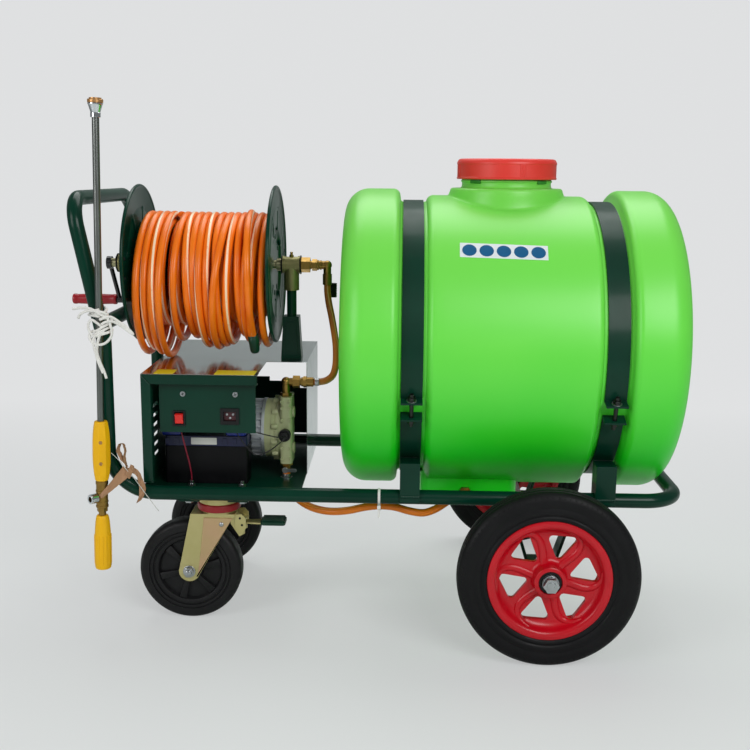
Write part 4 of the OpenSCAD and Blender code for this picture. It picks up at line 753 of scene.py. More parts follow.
# ball bearing in the recess of the hub: outer ring, rubber seal and inner ring
bearing_ring = [
    (0.0205, 0.0), (0.0205, 0.0045), (0.0198, 0.0052), (0.0178, 0.0052), (0.0176, 0.0036), (0.0138, 0.0036),
    (0.0136, 0.0052), (0.0122, 0.0052), (0.0122, 0.0)]
seal_ring = [
    (0.0206, 0.0046), (0.0206, 0.0062), (0.0190, 0.0066), (0.0160, 0.0060), (0.0150, 0.0050),
    (0.0206, 0.0046)]
tick_count, tick_r, tick_y, bearing_y = 96, 0.1585, 0.0238, 0.0222
sides_of_cart = (("near", -1), ("far", 1))
for side, s in sides_of_cart:
    wheel = "front_wheel_" + side
    at = (hub_x, s * wheel_y, hub_z)
    dress(cast_rim("rim_" + side + "_cast", at), red_enamel, wheel, "rim_" + side)
    ridges = []
    for k in range(6):
        for e in (-1, 1):
            line = [spot_on(at, r, window_turn + 60 * k + a, e * y) for r, a, y, w in ridge_line]
            widths = smooth_path([(w, 0, 0) for r, a, y, w in ridge_line], 4)
            ridges.append(tube("ridge", smooth_path(line, 4), [w.x for w in widths], 14))
    dress(joined("rim_" + side + "_ridges", ridges), red_enamel, wheel)
    dress(lathe("tyre_" + side + "_moulded", tyre_outline, at, (0, 1, 0), 144, 40), tyre_rubber, wheel,
          "tyre_" + side)
    ticks = []
    for k in range(tick_count):
        a = 2 * math.pi * k / tick_count
        out = Vector((math.cos(a), 0, math.sin(a)))
        for e in (-1, 1):
            ticks.append((Vector(at) + out * tick_r + Vector((0, e * tick_y, 0)),
                          out * 0.45 + Vector((0, e, 0))))
    set_out("tyre_" + side + "_ticks", shoulder_tick, ticks, tyre_rubber, wheel)
    for e in (-1, 1):
        end = side + ("_in" if e * s < 0 else "_out")
        for name, ring, skin in (("bearing_ring_", bearing_ring, bright_steel),
                                 ("bearing_seal_", seal_ring, black_seal)):
            dress(lathe(name + end, ring, (hub_x, s * wheel_y + e * bearing_y, hub_z), (0, e, 0), 48), skin,
                  wheel)


# ---- Casters ----
# Two swivel casters under the pump box: pressed forks in yellow zinc, a red seal round the ball race, black
# moulded wheels with ribbed hubs, an axle bolt, and a brake with a ribbed green pedal.

def round_corners(w, h, r, parts=5):
    """The outline of a rectangle with round corners about the origin."""
    x, y = w / 2 - r, h / 2 - r
    out = []
    for centre, start in (((x, y), 0), ((-x, y), 90), ((-x, -y), 180), ((x, -y), 270)):
        out += round_corner(centre, r, start, start + 90, parts)
    return out


def tangent(p, c, r, s):
    """Where a straight edge from p meets the round end about c."""
    v = Vector(c) - Vector(p)
    a = s * math.acos(r / v.length)
    w = -v.normalized()
    return (c[0] + r * (w.x * math.cos(a) - w.y * math.sin(a)),
            c[1] + r * (w.x * math.sin(a) + w.y * math.cos(a)))


# yellow chromate on zinc: straw with a pink and green bloom, dull enough to blur what it mirrors
yellow_zinc = coat(
    "yellow_chromate_zinc", "#d2c792", "#bdb476", 0.36, cloud=22, grain=500, relief=0.0003, strength=0.1,
    rough_to=0.46, Metallic=0.8, slot="zinc")
pink_zinc = coat(
    "pink_chromate_zinc", "#d6ac8c", "#c6b07e", 0.36, cloud=24, grain=500, relief=0.0003, strength=0.1,
    rough_to=0.46, Metallic=0.8, slot="zinc")
seal_rubber = coat(
    "red_seal_rubber", "#b01822", "#7a0c14", 0.42, cloud=26, grain=500, relief=0.0005, strength=0.15,
    slot="seal_rubber")
# hard moulded rubber: the mould's turning marks lie 1 mm apart and are drawn 2 mm apart
caster_rubber = coat(
    "caster_rubber", "#18181a", "#0a0a0b", 0.42, cloud=30, grain=420, relief=0.0005, strength=0.3,
    rough_to=0.6, Specular_IOR_Level=0.3, slot="wheel_rubber")
pedal_plastic = coat(
    "pedal_plastic", "#0a3d2b", "#05291c", 0.36, cloud=18, grain=500, relief=0.0004, strength=0.12,
    Specular_IOR_Level=0.35, slot="green_paint")
eased("caster_plates", yellow_zinc, 0.0006)
eased("caster_seals", seal_rubber, 0.0004)
eased("fasteners", bright_steel, 0.0004)
caster_x, caster_y, trail, roller_z = -0.2855, 0.143, 0.058, 0.103
roller_side = [
    (0.0158, 0.0245), (0.019, 0.0225), (0.024, 0.0205), (0.027, 0.0125), (0.0605, 0.0115), (0.063, 0.0165),
    (0.0645, 0.0195), (0.0665, 0.0205), (0.0715, 0.0205), (0.0725, 0.0185), (0.0745, 0.0185),
    (0.0755, 0.0212), (0.0795, 0.0218), (0.0805, 0.0203), (0.0818, 0.0203), (0.0828, 0.0224)]
roller_side += round_corner((0.091, 0.0105), 0.012, 90, 0, 9)
roller_outline = roller_side + mirrored(roller_side) + roller_side[:1]
rib_outline = [(-0.0042, 0.014), (0.0042, 0.014), (0.0078, 0.0625), (-0.0078, 0.0625)]
hub_rib = slab("hub_rib", rib_outline, (0, 0.0192, 0), *standing, 0.0384, 0.0012)
dome_rivet = turned_shape("dome_rivet", [
    (0.0052, 0.0), (0.0052, 0.0006), (0.0047, 0.0018), (0.0034, 0.0028), (0.0014, 0.0033)], 20)
axle_nut = turned_shape("axle_nut", [
    (0.0124, -0.0003), (0.0124, 0.0016), (0.0119, 0.0019), (0.0094, 0.0019), (0.0094, 0.0092),
    (0.0084, 0.0099), (0.0064, 0.0099), (0.0064, 0.0148), (0.0054, 0.0154)], flats=(3, 4, 5))
small_dot = turned_shape("small_dot", [(0.0024, -0.0002), (0.0024, 0.0003)], 16)
# painted shade: plain black for the shade inside holes, slots and bores
hole_shade_black = start_material("hole_shadow", "#0c0b0a", 0.9)[0]
# a raised panel is pressed into each leg; the brake's spring plate is folded out of the fork's front
leg_panel = [
    (-0.0265, 0.2165), (-0.0335, 0.150), (-0.0415, 0.0935),
    tangent((0.0330, 0.2165), (-trail, roller_z), 0.0178, -1), (0.031, 0.2165)]
panel_lift = 0.0024
cheek_fold = [
    (0.0335, 0.2215), (0.0475, 0.2225), (0.0555, 0.2135), (0.0560, 0.1935), (0.0470, 0.1790),
    (0.0330, 0.1930)]
cheek_holes = ((0.044, 0.2135), (0.048, 0.1995))
pedal_arm = [
    (-0.0085, -0.0095), (0.010, -0.0095), (0.036, -0.0125), (0.060, -0.0125), (0.060, 0.0125),
    (0.036, 0.0125), (0.010, 0.0095), (-0.0085, 0.0095)]
pedal_barrel = [(0.0046, -0.0152), (0.0088, -0.0152), (0.0088, 0.0152), (0.0046, 0.0152), (0.0046, -0.0152)]
pivot_x, pivot_z, shoe_reach = caster_x + 0.044, 0.201, 0.065
for side, s in sides_of_cart:
    fork, roller, pedal = "caster_" + side, "caster_roller_" + side, "brake_pedal_" + side
    y = s * caster_y
    axle = (caster_x - trail, y, roller_z)
    eased("fork_" + side, yellow_zinc, 0.0008)
    for e, end in ((-1, "_out"), (1, "_in")):
        dress(slab("fork_panel_" + side + end, leg_panel if e < 0 else leg_panel[::-1],
                   (caster_x, y + e * 0.0292, 0), *standing, -e * panel_lift, 0.0019, 3), pink_zinc, fork)
    set_out("axle_bolt_" + side, axle_nut, [((caster_x - trail, y + e * 0.0295, roller_z), (0, e, 0))
                                            for e in (-1, 1)], bright_steel, fork)
    set_out("fork_rivet_" + side, dome_rivet,
            [((caster_x + 0.0085, y + e * 0.0302, 0.2035), (0, e, 0)) for e in (-1, 1)], bright_steel, fork)
    for e, end in ((-1, "_out"), (1, "_in")):
        dress(slab("brake_cheek_" + side + end, cheek_fold, (caster_x, y + e * 0.0205 + 0.001, 0), *standing,
                   0.0022, 0.0006), yellow_zinc, fork)
    # painted shade: the cheeks' holes are black dots
    set_out("brake_cheek_holes_" + side, small_dot, [((caster_x + x, y + e * 0.0217, z), (0, e, 0))
                                                     for e in (-1, 1) for x, z in cheek_holes], hole_shade_black,
            fork)
    wheel = lathe("caster_wheel_" + side + "_moulded", roller_outline, axle, (0, 1, 0), 112, 35)
    dress(wheel, caster_rubber, roller, "caster_wheel_" + side)
    spokes = [(axle, spot_on((0, 0, 0), 1, 15 + 60 * k, 0)) for k in range(6)]
    set_out("caster_ribs_" + side, hub_rib, spokes, caster_rubber, roller)
    # pedal: a zinc arm on the pivot and a moulded shoe with ribs for the toe
    dress(slab("brake_arm_" + side, pedal_arm, (pivot_x, y, pivot_z - 0.0028), *flat, 0.0036, 0.0008),
          yellow_zinc, pedal, "brake_" + side)
    dress(lathe("brake_barrel_" + side, pedal_barrel, (pivot_x, y, pivot_z), (0, 1, 0), 40), yellow_zinc,
          pedal)
    shoe_at = (pivot_x + shoe_reach, y, pivot_z - 0.0028)
    dress(slab("pedal_shoe_" + side, round_corners(0.050, 0.040, 0.007), shoe_at, *flat, 0.0078, 0.0018, 3),
          pedal_plastic, pedal)
    toe_rib = slab("toe_rib_" + side, round_corners(0.044, 0.0042, 0.0018, 3), (0, 0, 0), *flat, 0.0032,
                   0.0009)
    ribs = [((pivot_x + shoe_reach, y + 0.0075 * k, pivot_z + 0.0048), (0, 0, 1)) for k in (-2, -1, 0, 1, 2)]
    set_out("pedal_ribs_" + side, toe_rib, ribs, pedal_plastic, pedal)
    bpy.data.objects.remove(toe_rib)
bpy.data.objects.remove(hub_rib)


# ---- Tank ----
# Rotomoulded polyethylene: one shell with two end lobes, two grooves for the straps, a raised boss with the
# neck, and a sump pan below. The skin is satin, waxy and slightly cloudy.

def tank_skin_shaded_by_height():
    """Polyethylene with painted shade by height: deep and saturated towards the bottom, pale and milky above."""
    material, tree, shader = start_material("rotomoulded_polyethylene", "#78e456", 0.36, "tank_plastic",
                                            Specular_IOR_Level=0.5)
    where = add(tree, "ShaderNodeTexCoord").outputs["Object"]
    height = add(tree, "ShaderNodeSeparateXYZ", wires={0: where})
    cloud = add(tree, "ShaderNodeTexNoise", {"Scale": 4.0, "Detail": 3.0}, {"Vector": where})
    drift = add(tree, "ShaderNodeMath", {"operation": "MULTIPLY_ADD", 1: 0.10}, {0: cloud.outputs["Fac"],
                                                                                2: height.outputs["Z"]})
    shade = None
    # painted shade: the green deepens and saturates towards the bottom, where less light falls, and is a little
    # duller at the top
    for low, high, below, over in ((0.42, 0.65, "#10d215", "#6fe64c"), (0.67, 0.97, None, "#7cd852")):
        rise = add(tree, "ShaderNodeMapRange", {"From Min": low, "From Max": high},
                   {"Value": drift.outputs[0]})
        mixed = add(tree, "ShaderNodeMix", {"data_type": "RGBA", 7: linear(over)}, {0: rise.outputs[0]})
        if below:
            mixed.inputs[6].default_value = linear(below)
        else:
            tree.links.new(shade, mixed.inputs[6])
        shade = mixed.outputs[2]
    tree.links.new(shade, shader.inputs["Base Color"])
    # the mould leaves a soft orange peel of about 5 mm
    peel = add(tree, "ShaderNodeTexNoise", {"Scale": 210.0, "Detail": 2.0}, {"Vector": where})
    bump = add(tree, "ShaderNodeBump", {"Strength": 0.05, "Distance": 0.0008},
               {"Height": peel.outputs["Fac"]})
    tree.links.new(bump.outputs[0], shader.inputs["Normal"])
    return material


tank_plastic = tank_skin_shaded_by_height()
tank_x, tank_z = 0.2805, 0.560
tank_r, wall, belly_drop = 0.288, 0.005, 0.010
groove_a, groove_b = 0.160, 0.212
end_r, end_x, end_round, dome_rise = 0.253, 0.321, 0.047, 0.007
half_side = [(0.0, tank_r), (0.07, tank_r)]
half_side += [(x, r) for r, x in round_corner((0.274, groove_a - 0.014), 0.014, 0, 84, 9)]
half_side += [
    (groove_a + 0.0042, 0.2743), (groove_a + 0.0075, 0.2737), (groove_b - 0.0075, 0.2737),
    (groove_b - 0.0042, 0.2746), (groove_b - 0.0015, 0.2768)]
half_side += [(x, r) for r, x in round_corner((0.286, groove_b + 0.014), 0.014, -84, 0, 9)]
half_side += [(x, r) for r, x in round_corner((end_r, end_x - end_round), end_round, 0, 90, 14)]
dome_r = (end_r ** 2 + dome_rise ** 2) / (2 * dome_rise)
half_side += [(end_x + dome_rise - dome_r + math.sqrt(dome_r ** 2 - r * r), r)
              for r in (0.225, 0.17, 0.11, 0.05, 0.0)]
side_line = [(-x, r) for x, r in reversed(half_side[1:])] + half_side


def belly(x, r, up):
    """How far the middle of the tank swells towards its underside."""
    part = min(max((groove_a - abs(x)) / 0.012, 0.0), 1.0) * min(max((r - 0.268) / 0.012, 0.0), 1.0)
    return belly_drop * part * max(-up + 0.15, 0.0) / 1.15


def tank_wall_mesh(name, line, sides, hole):
    """A shell turned about the tank's axis, with a wall, and an opening through both skins."""
    line = [Vector(p) for p in line]
    inner = []
    for i, p in enumerate(line):
        run = (line[min(i + 1, len(line) - 1)] - line[max(i - 1, 0)]).normalized()
        q = p - Vector((-run.y, run.x)) * wall
        inner.append(Vector((q.x, max(q.y, 0.0) if i not in (0, len(line) - 1) else 0.0)))
    verts = []
    for skin in (line, inner):
        for x, r in skin:
            r = max(r, 1e-5)
            for k in range(sides):
                a = 2 * math.pi * k / sides
                reach = r + belly(x, r, math.cos(a))
                verts.append((tank_x + x, reach * math.sin(a), tank_z + reach * math.cos(a)))
    count = len(line) * sides
    faces, edges = [], {}
    for corners in ring_faces(len(line), sides):
        if hole(sum((Vector(verts[c]) for c in corners), Vector()) / 4):
            continue
        faces.append(corners)
        faces.append(tuple(c + count for c in reversed(corners)))
        for a, b in zip(corners, corners[1:] + corners[:1]):
            edges[(a, b)] = 1
    for a, b in edges:
        if (b, a) not in edges and min(a, b) >= sides and max(a, b) < count - sides:
            faces.append((b, a, a + count, b + count))
    mesh = mesh_of(name, verts, faces)
    form = bmesh.new()
    form.from_mesh(mesh)
    bmesh.ops.remove_doubles(form, verts=form.verts, dist=3e-5)
    loose = [v for v in form.verts if not v.link_faces]
    bmesh.ops.delete(form, geom=loose, context="VERTS")
    form.to_mesh(mesh)
    form.free()
    return keep(name, crease(mesh, 50))


fine_line = [side_line[0]]
for p in side_line[1:]:
    a = fine_line[-1]
    parts = max(1, int(math.dist(a, p) / 0.02))
    fine_line += [(a[0] + (p[0] - a[0]) * (k + 1) / parts, a[1] + (p[1] - a[1]) * (k + 1) / parts)
                  for k in range(parts)]
filler_r = 0.098
shell = tank_wall_mesh("tank_shell_moulded", fine_line, 160,
                       lambda m: m.z > tank_z and math.hypot(m.x - tank_x, m.y) < filler_r)
dress(shell, tank_plastic, "chassis", "tank_shell")

# boss and neck: rings that leave the tank's skin in a fillet and rise to the flat and the threaded neck
# a row of the boss: its radius, its height over the tank's skin, and whether it is the steep wall's
neck_rows = [
    (0.1190, -0.0012, 0), (0.1172, 0.0002, 0), (0.1158, 0.0012, 0), (0.1146, 0.0030, 0),
    (0.1138, 0.0060, 0), (0.1134, 0.0120, 1)]
rise = [
    (0.1128, 0.8555), (0.1122, 0.8585), (0.1106, 0.8612), (0.1080, 0.8628), (0.1040, 0.863),
    (0.0935, 0.863), (0.0908, 0.8638), (0.0892, 0.8662), (0.0887, 0.870), (0.0887, 0.8738),
    (0.0905, 0.8752), (0.0905, 0.8782), (0.0887, 0.8796), (0.0887, 0.9055), (0.0879, 0.907),
    (0.0848, 0.907), (0.0837, 0.9055), (0.0837, 0.852), (0.086, 0.846), (0.094, 0.842), (0.106, 0.838),
    (0.1065, 0.828), (0.118, 0.815)]
sides = 144
verts = []
for k in range(sides):
    a = 2 * math.pi * k / sides
    column = []
    for r, lift, steep in neck_rows:
        y = r * math.sin(a)
        ground = tank_z + math.sqrt(tank_r ** 2 - y * y)
        level_here = ground + lift
        if steep:
            level_here = max(ground + lift, min(0.8535, ground + 0.02))
        column.append((r, min(level_here, 0.8545)))
    column += rise
    verts.append([(tank_x + r * math.cos(a), r * math.sin(a), z) for r, z in column])
rows = len(verts[0])
mesh = mesh_of("tank_neck", [verts[k][j] for j in range(rows) for k in range(sides)], ring_faces(rows, sides))
dress(keep("tank_neck", crease(mesh, 50)), tank_plastic, "chassis")
neck_lug = slab("neck_lug", round_corners(0.026, 0.0072, 0.002, 3), (0, -0.0036, -0.001), *flat, 0.0042,
                0.001)
lugs = []
for turn in (-137, -46, 43, 134):
    out = Vector((math.cos(math.radians(turn)), math.sin(math.radians(turn)), 0))
    lugs.append((Vector((tank_x, 0, 0.8722)) + out * 0.0888, out))
# painted shade: the neck's lugs, under the cap's rim, are a darker green than the tank
shade_green = coat(
    "lug_painted_shade_green", "#2f8f2a", "#277c22", 0.5, cloud=20, grain=300, relief=0.0004, strength=0.1,
    slot="tank_plastic")
set_out("neck_lugs", neck_lug, lugs, shade_green, "chassis", 1.0, math.pi / 2)
bpy.data.objects.remove(neck_lug)

# sump pan: rounded below, drawn out of the tank's underside
sump_x, sump_low = 0.213, 0.249
sump_rows = [
    (0.060, 0.060, 0.0, 0.020), (0.088, 0.122, 0.0, 0.030), (0.0925, 0.1265, 0.0012, 0.026),
    (0.0958, 0.1292, 0.0045, 0.024), (0.0965, 0.130, 0.009, 0.022), (0.0965, 0.130, 0.034, 0.022),
    (0.0975, 0.131, 0.052, 0.024), (0.101, 0.134, 0.066, 0.028)]
verts = []
for hx, hy, up, r in sump_rows:
    for x, y in round_corners(2 * hx, 2 * hy, r, 8):
        low = tank_z - math.sqrt(0.286 ** 2 - min(abs(y), 0.2) ** 2)
        verts.append((sump_x + x, y, min(sump_low + up, low + 0.004) if up > 0.02 else sump_low + up))
n = len(verts) // len(sump_rows)
floor, top = end_caps(len(sump_rows), n)
mesh = mesh_of("tank_sump", verts, [floor] + ring_faces(len(sump_rows), n) + [top])
dress(keep("tank_sump", crease(mesh, 50)), tank_plastic, "chassis")

# plain information label: white film with five bare blue discs
label_film = coat("label_film", "#e9edee", "#dbe2e6", 0.34, cloud=40, grain=300, relief=0.0002, strength=0.08)
label_blue = coat(
    "label_ink_blue", "#15618f", "#10527e", 0.36, cloud=60, grain=300, relief=0.0002, strength=0.08,
    Specular_IOR_Level=0.3)


def on_tank(x, z, lift):
    """A point on the near side of the tank's middle, at a height above the floor."""
    up = (z - tank_z) / tank_r
    return (x, -(tank_r + lift) * math.sqrt(1 - up * up), tank_z + (tank_r + lift) * up)


def film(name, outline, centre, lift, material):
    """A thin film that follows the tank; its outline is filled from its centre in rings."""
    rings = 5
    verts = [on_tank(centre[0], centre[1], lift)]
    for j in range(1, rings + 1):
        verts += [on_tank(centre[0] + (x - centre[0]) * j / rings, centre[1] + (z - centre[1]) * j / rings,
                          lift) for x, z in outline]
    n = len(outline)
    verts += [on_tank(x, z, 0.00005) for x, z in outline]
    faces = [(0, 1 + k, 1 + (k + 1) % n) for k in range(n)]
    faces += [(1 + j * n + k, 1 + (j + 1) * n + k, 1 + (j + 1) * n + (k + 1) % n, 1 + j * n + (k + 1) % n)
              for j in range(rings) for k in range(n)]
    mesh = mesh_of(name, verts, faces)
    form = bmesh.new()
    form.from_mesh(mesh)
    bmesh.ops.recalc_face_normals(form, faces=form.faces)
    if form.faces[0].normal.y > 0:
        bmesh.ops.reverse_faces(form, faces=form.faces)
    form.to_mesh(mesh)
    form.free()
    return dress(keep(name, mesh), material, "chassis")


label_tilt = math.radians(-1.4)
label_at = (0.2593, 0.7518)
label_w, label_h = 0.0805, 0.0122


def on_label(x, z):
    """A point of the tank's side from its place on the tilted label."""
    return (label_at[0] + x * math.cos(label_tilt) - z * math.sin(label_tilt),
            label_at[1] + x * math.sin(label_tilt) + z * math.cos(label_tilt))


edge_points = []
label_corners = [(-label_w, -label_h), (label_w, -label_h), (label_w, label_h), (-label_w, label_h)]
for (x0, z0), (x1, z1) in zip(label_corners, label_corners[1:] + label_corners[:1]):
    edge_points += [on_label(x0 + (x1 - x0) * k / 12, z0 + (z1 - z0) * k / 12) for k in range(12)]
film("label_strip", edge_points, label_at, 0.0004, label_film)
disc_spacing, disc_half_w, disc_half_h = 0.0315, 0.0132, 0.0097
for k in range(5):
    middle = disc_spacing * (k - 2)
    disc = [on_label(middle + disc_half_w * math.cos(math.radians(10 * i)),
                     disc_half_h * math.sin(math.radians(10 * i))) for i in range(36)]
    film("label_disc_%d" % (k + 1), disc, on_label(middle, 0), 0.0007, label_blue)


# ---- Cap, strainer and outlet ----
# A red polypropylene screw cap with a chamfered rim and short grip ribs. Its white strainer hangs in the
# neck. Below, a brass elbow is screwed into the sump for the suction hose.

cap_red = coat(
    "red_polypropylene", "#ee4238", "#e03028", 0.36, cloud=14, grain=400, relief=0.0004, strength=0.08,
    rough_to=0.46, slot="red_plastic")
cap_low, cap_top = 0.8803, 0.9203
cap_outline = [
    (0.0902, cap_low), (0.0982, cap_low), (0.0992, cap_low + 0.0008), (0.0996, cap_low + 0.0035),
    (0.0986, cap_low + 0.0046)]
cap_outline += [(r, cap_top - drop) for r, drop in ((0.0986, 0.0115), (0.0993, 0.0104), (0.0993, 0.0075),
                                                    (0.0985, 0.0058), (0.0965, 0.0022), (0.0940, 0.0004),
                                                    (0.0915, 0.0), (0.0800, 0.0), (0.0785, 0.0006),
                                                    (0.0772, 0.0026), (0.0758, 0.0032), (0.0400, 0.0032),
                                                    (0.0390, 0.0022), (0.0375, 0.0022), (0.0365, 0.0032),
                                                    (0.0, 0.0030), (0.0, 0.0096), (0.0880, 0.0098),
                                                    (0.0902, 0.0106))]
cap_outline += cap_outline[:1]
dress(lathe("tank_cap", cap_outline, (tank_x, 0, 0), (0, 0, 1), 144, 32), cap_red, "lid", "tank_lid")
# four groups of three short grip ribs
grip_rib = slab("cap_rib", round_corners(0.0026, 0.0265, 0.001, 3), (0, 0, -0.001), *flat, 0.0021, 0.0005)
places = []
for turn in (0, 90, 180, 270):
    for d in (-2.6, 0.0, 2.6):
        a = math.radians(turn + 13 + d)
        out = Vector((math.cos(a), math.sin(a), 0))
        places.append((Vector((tank_x, 0, cap_low + 0.0166)) + out * 0.0985, out))
set_out("cap_ribs", grip_rib, places, cap_red, "lid", 1.0, math.pi / 2)
bpy.data.objects.remove(grip_rib)
strainer_plastic = coat(
    "strainer_polypropylene", "#dededa", "#cfcfc8", 0.5, cloud=30, grain=300, relief=0.0004, strength=0.1,
    slot="strainer_plastic")
eased("strainer_basket", strainer_plastic, 0.0006)
# turned brass, dulled: streaks of a darker brown along the grain
turned_brass = coat(
    "turned_brass", "#b3904c", "#7f6434", 0.32, cloud=34, grain=700, relief=0.0003, strength=0.12,
    rough_to=0.44, Metallic=1.0, slot="brass")
eased("tank_outlet", turned_brass, 0.0006)


# ---- Straps ----
# Two flat steel straps in the grooves, each in an upper and a lower half. Hook bolts draw the halves
# together on both sides; the lower halves rest on short posts welded to the rails.

# brushed green paint on the strip, duller than the powder coat
strap_paint = coat(
    "brushed_strap_paint", "#043c2b", "#02291d", 0.42, cloud=14, grain=300, relief=0.0003, strength=0.1,
    rough_to=0.5, Specular_IOR_Level=0.15, Coat_Weight=0.16, Coat_Roughness=0.16, slot="green_paint")
oiled_steel = coat(
    "oiled_steel", "#4a4d4a", "#2b2d2b", 0.34, cloud=40, grain=900, relief=0.0003, strength=0.12,
    rough_to=0.46, Metallic=1.0, slot="steel")
for node in ("straps_upper", "straps_lower"):
    eased(node, strap_paint, 0.0005)
eased("strap_bolts", oiled_steel, 0.0004)
strap_washer = turned_shape("strap_washer", [
    (0.0046, 0.0), (0.0092, 0.0), (0.0096, 0.0003), (0.0096, 0.0013), (0.0092, 0.0016), (0.0046, 0.0016)])
strap_r, bolt_turn = 0.274, math.radians(71)
ear_reach = strap_r * math.sin(math.radians(3)) + 0.004 + 0.0004
washers = []
for s in (-1, 1):
    out = Vector((0, s * math.sin(bolt_turn), -math.cos(bolt_turn)))
    along = Vector((0, s * math.cos(bolt_turn), math.sin(bolt_turn)))
    for x in strap_places:
        middle = Vector((x, 0, tank_z)) + out * (strap_r + 0.015)
        washers += [(middle + along * e * ear_reach, along * e) for e in (-1, 1)]
set_out("strap_washers", strap_washer, washers, bright_steel, "chassis")
weld_rows = [((x - 0.016 + weld_step * k, s * 0.2262, 0.2835), (0, s, 0.2))
             for s in (-1, 1) for x in strap_places for k in range(11)]
set_out("post_welds", weld_drop, weld_rows, green_powder_coat, "chassis")


# ---- Pump box ----
# A folded sheet steel box in the frame's green, open on the near side behind a folded border, with a bright
# stainless cover bent over its top and front. The control panel hangs behind the opening.

# rolled stainless sheet: nearly a mirror, with a faint waviness of about 60 mm
cover_steel = coat(
    "rolled_stainless_sheet", "#d4d8da", "#c2c7ca", 0.1, cloud=8, grain=16, relief=0.0012, strength=0.12,
    rough_to=0.17, Metallic=1.0, slot="cover_sheet")
yellow_film = coat(
    "yellow_film", "#e3d21e", "#d6c212", 0.4, cloud=40, grain=300, relief=0.0002, strength=0.08)
box_green = coat(
    "box_green_powder_coat", "#043b2b", "#02271b", 0.28, cloud=9, grain=650, relief=0.0004, strength=0.06,
    Specular_IOR_Level=0.18, Coat_Weight=0.15, Coat_Roughness=0.1, slot="green_paint")
black_plastic = coat(
    "black_moulded_plastic", "#111113", "#09090a", 0.36, cloud=30, grain=420, relief=0.0004, strength=0.15,
    rough_to=0.5, Specular_IOR_Level=0.35, slot="black_plastic")
eased("box_cover", cover_steel, 0.0004)
for node in ("box_floor", "box_casing", "control_panel"):
    eased(node, box_green, 0.0005)
box_x, box_near, casing_top, border = -0.4205, -0.205, 0.511, 0.019
for name, outline in (
        ("border_rear", [(0, 0.300), (border, 0.300), (border, casing_top - border), (0, casing_top)]),
        ("border_top", [(0, casing_top), (border, casing_top - border), (0.2215, casing_top - border),
                        (0.2215, casing_top)])):
    outline = [(box_x + x, z) for x, z in outline]
    dress(slab(name, outline, (0, box_near + 0.001, 0), *standing, 0.0038, 0.0034, 5), box_green, "chassis")
# two bare yellow films on the cover
for name, x0, x1 in (("sticker_rear", -0.397, -0.359), ("sticker_front", -0.281, -0.204)):
    outline = [((x0 + x1) / 2 + x, -0.1815 + y) for x, y in round_corners(x1 - x0, 0.043, 0.002, 3)]
    dress(slab(name, outline, (0, 0, 0.51195), *flat, 0.0004, 0.0001), yellow_film, "chassis")
# flanged lips of the louvre slots
lip_path = [(0, x, z) for x, z in round_corners(0.0555, 0.0095, 0.0046, 6)]
slot_lip = tube("slot_lip", lip_path + lip_path[:1], 0.0009, 6, closed=True)
slots = [((box_x - 0.0004, -0.107, 0.329 + 0.020 * k), (0, 0, 1)) for k in range(6)]
set_out("louvre_lips", slot_lip, slots, box_green, "chassis")
bpy.data.objects.remove(slot_lip)

# rocker switch and charging socket in their bezels
switch_red = coat(
    "red_switch_plastic", "#e2281f", "#cf1d18", 0.28, cloud=40, grain=300, relief=0.0003, strength=0.06,
    slot="red_plastic")
socket_red = coat(
    "dark_socket_plastic", "#4b1d22", "#341217", 0.45, cloud=40, grain=300, relief=0.0004, strength=0.12)
eased("panel_fittings", black_plastic, 0.0006)
eased("switch_rocker", switch_red, 0.0012)
socket_x, socket_z = -0.2535, 0.428
dress(slab("socket_face", round_corners(0.0236, 0.0176, 0.002, 3), (socket_x, -0.1862, socket_z), *standing,
           0.0014, 0.0004), socket_red, "chassis")
socket_pin = turned_shape("socket_pin", [(0.0026, -0.001), (0.0026, 0.0012), (0.0016, 0.002)], 14)
pins = [((socket_x + x, -0.1876, socket_z + z), (0, -1, 0))
        for x, z in ((-0.006, 0.003), (0.006, 0.003), (0.0, -0.004))]
set_out("socket_pins", socket_pin, pins, bright_steel, "chassis")
# cross slots in the heads of the panel's screws, as black bars of painted shade
cross_bar = slab("cross_bar", round_corners(0.0062, 0.0012, 0.0003, 2), (0, 0, -0.0003), *flat, 0.0005, 0)
heads = [((x, -0.1926, 0.471), (0, -1, 0)) for x in (-0.3435, -0.2425)]
for name, turn in (("screw_slots_a", 0.3), ("screw_slots_b", 0.3 + math.pi / 2)):
    set_out(name, cross_bar, heads, hole_shade_black, "chassis", 1.0, turn)
bpy.data.objects.remove(cross_bar)


# ---- Battery and leads ----
# A black lead-acid block with a dark blue lid, a plain white strip on its near side and blue covers on its
# terminals. Two red leads come down from the switch, two thin black ones run to the pressure switch.

lid_blue = coat(
    "battery_lid_plastic", "#10194a", "#0a1030", 0.38, cloud=30, grain=400, relief=0.0004, strength=0.12,
    slot="blue_plastic")
cover_blue = coat(
    "terminal_cover_plastic", "#12309c", "#0c2478", 0.3, cloud=30, grain=300, relief=0.0003, strength=0.08,
    slot="blue_plastic")
white_paper = coat(
    "white_paper_strip", "#d9dad4", "#c8c9c2", 0.55, cloud=40, grain=400, relief=0.0002, strength=0.1)
battery_black = coat(
    "battery_case_plastic", "#08080b", "#040406", 0.4, cloud=30, grain=420, relief=0.0004, strength=0.15,
    rough_to=0.5, Specular_IOR_Level=0.2, slot="black_plastic")
eased("battery_case", battery_black, 0.0014)
eased("battery_lid", lid_blue, 0.0012)
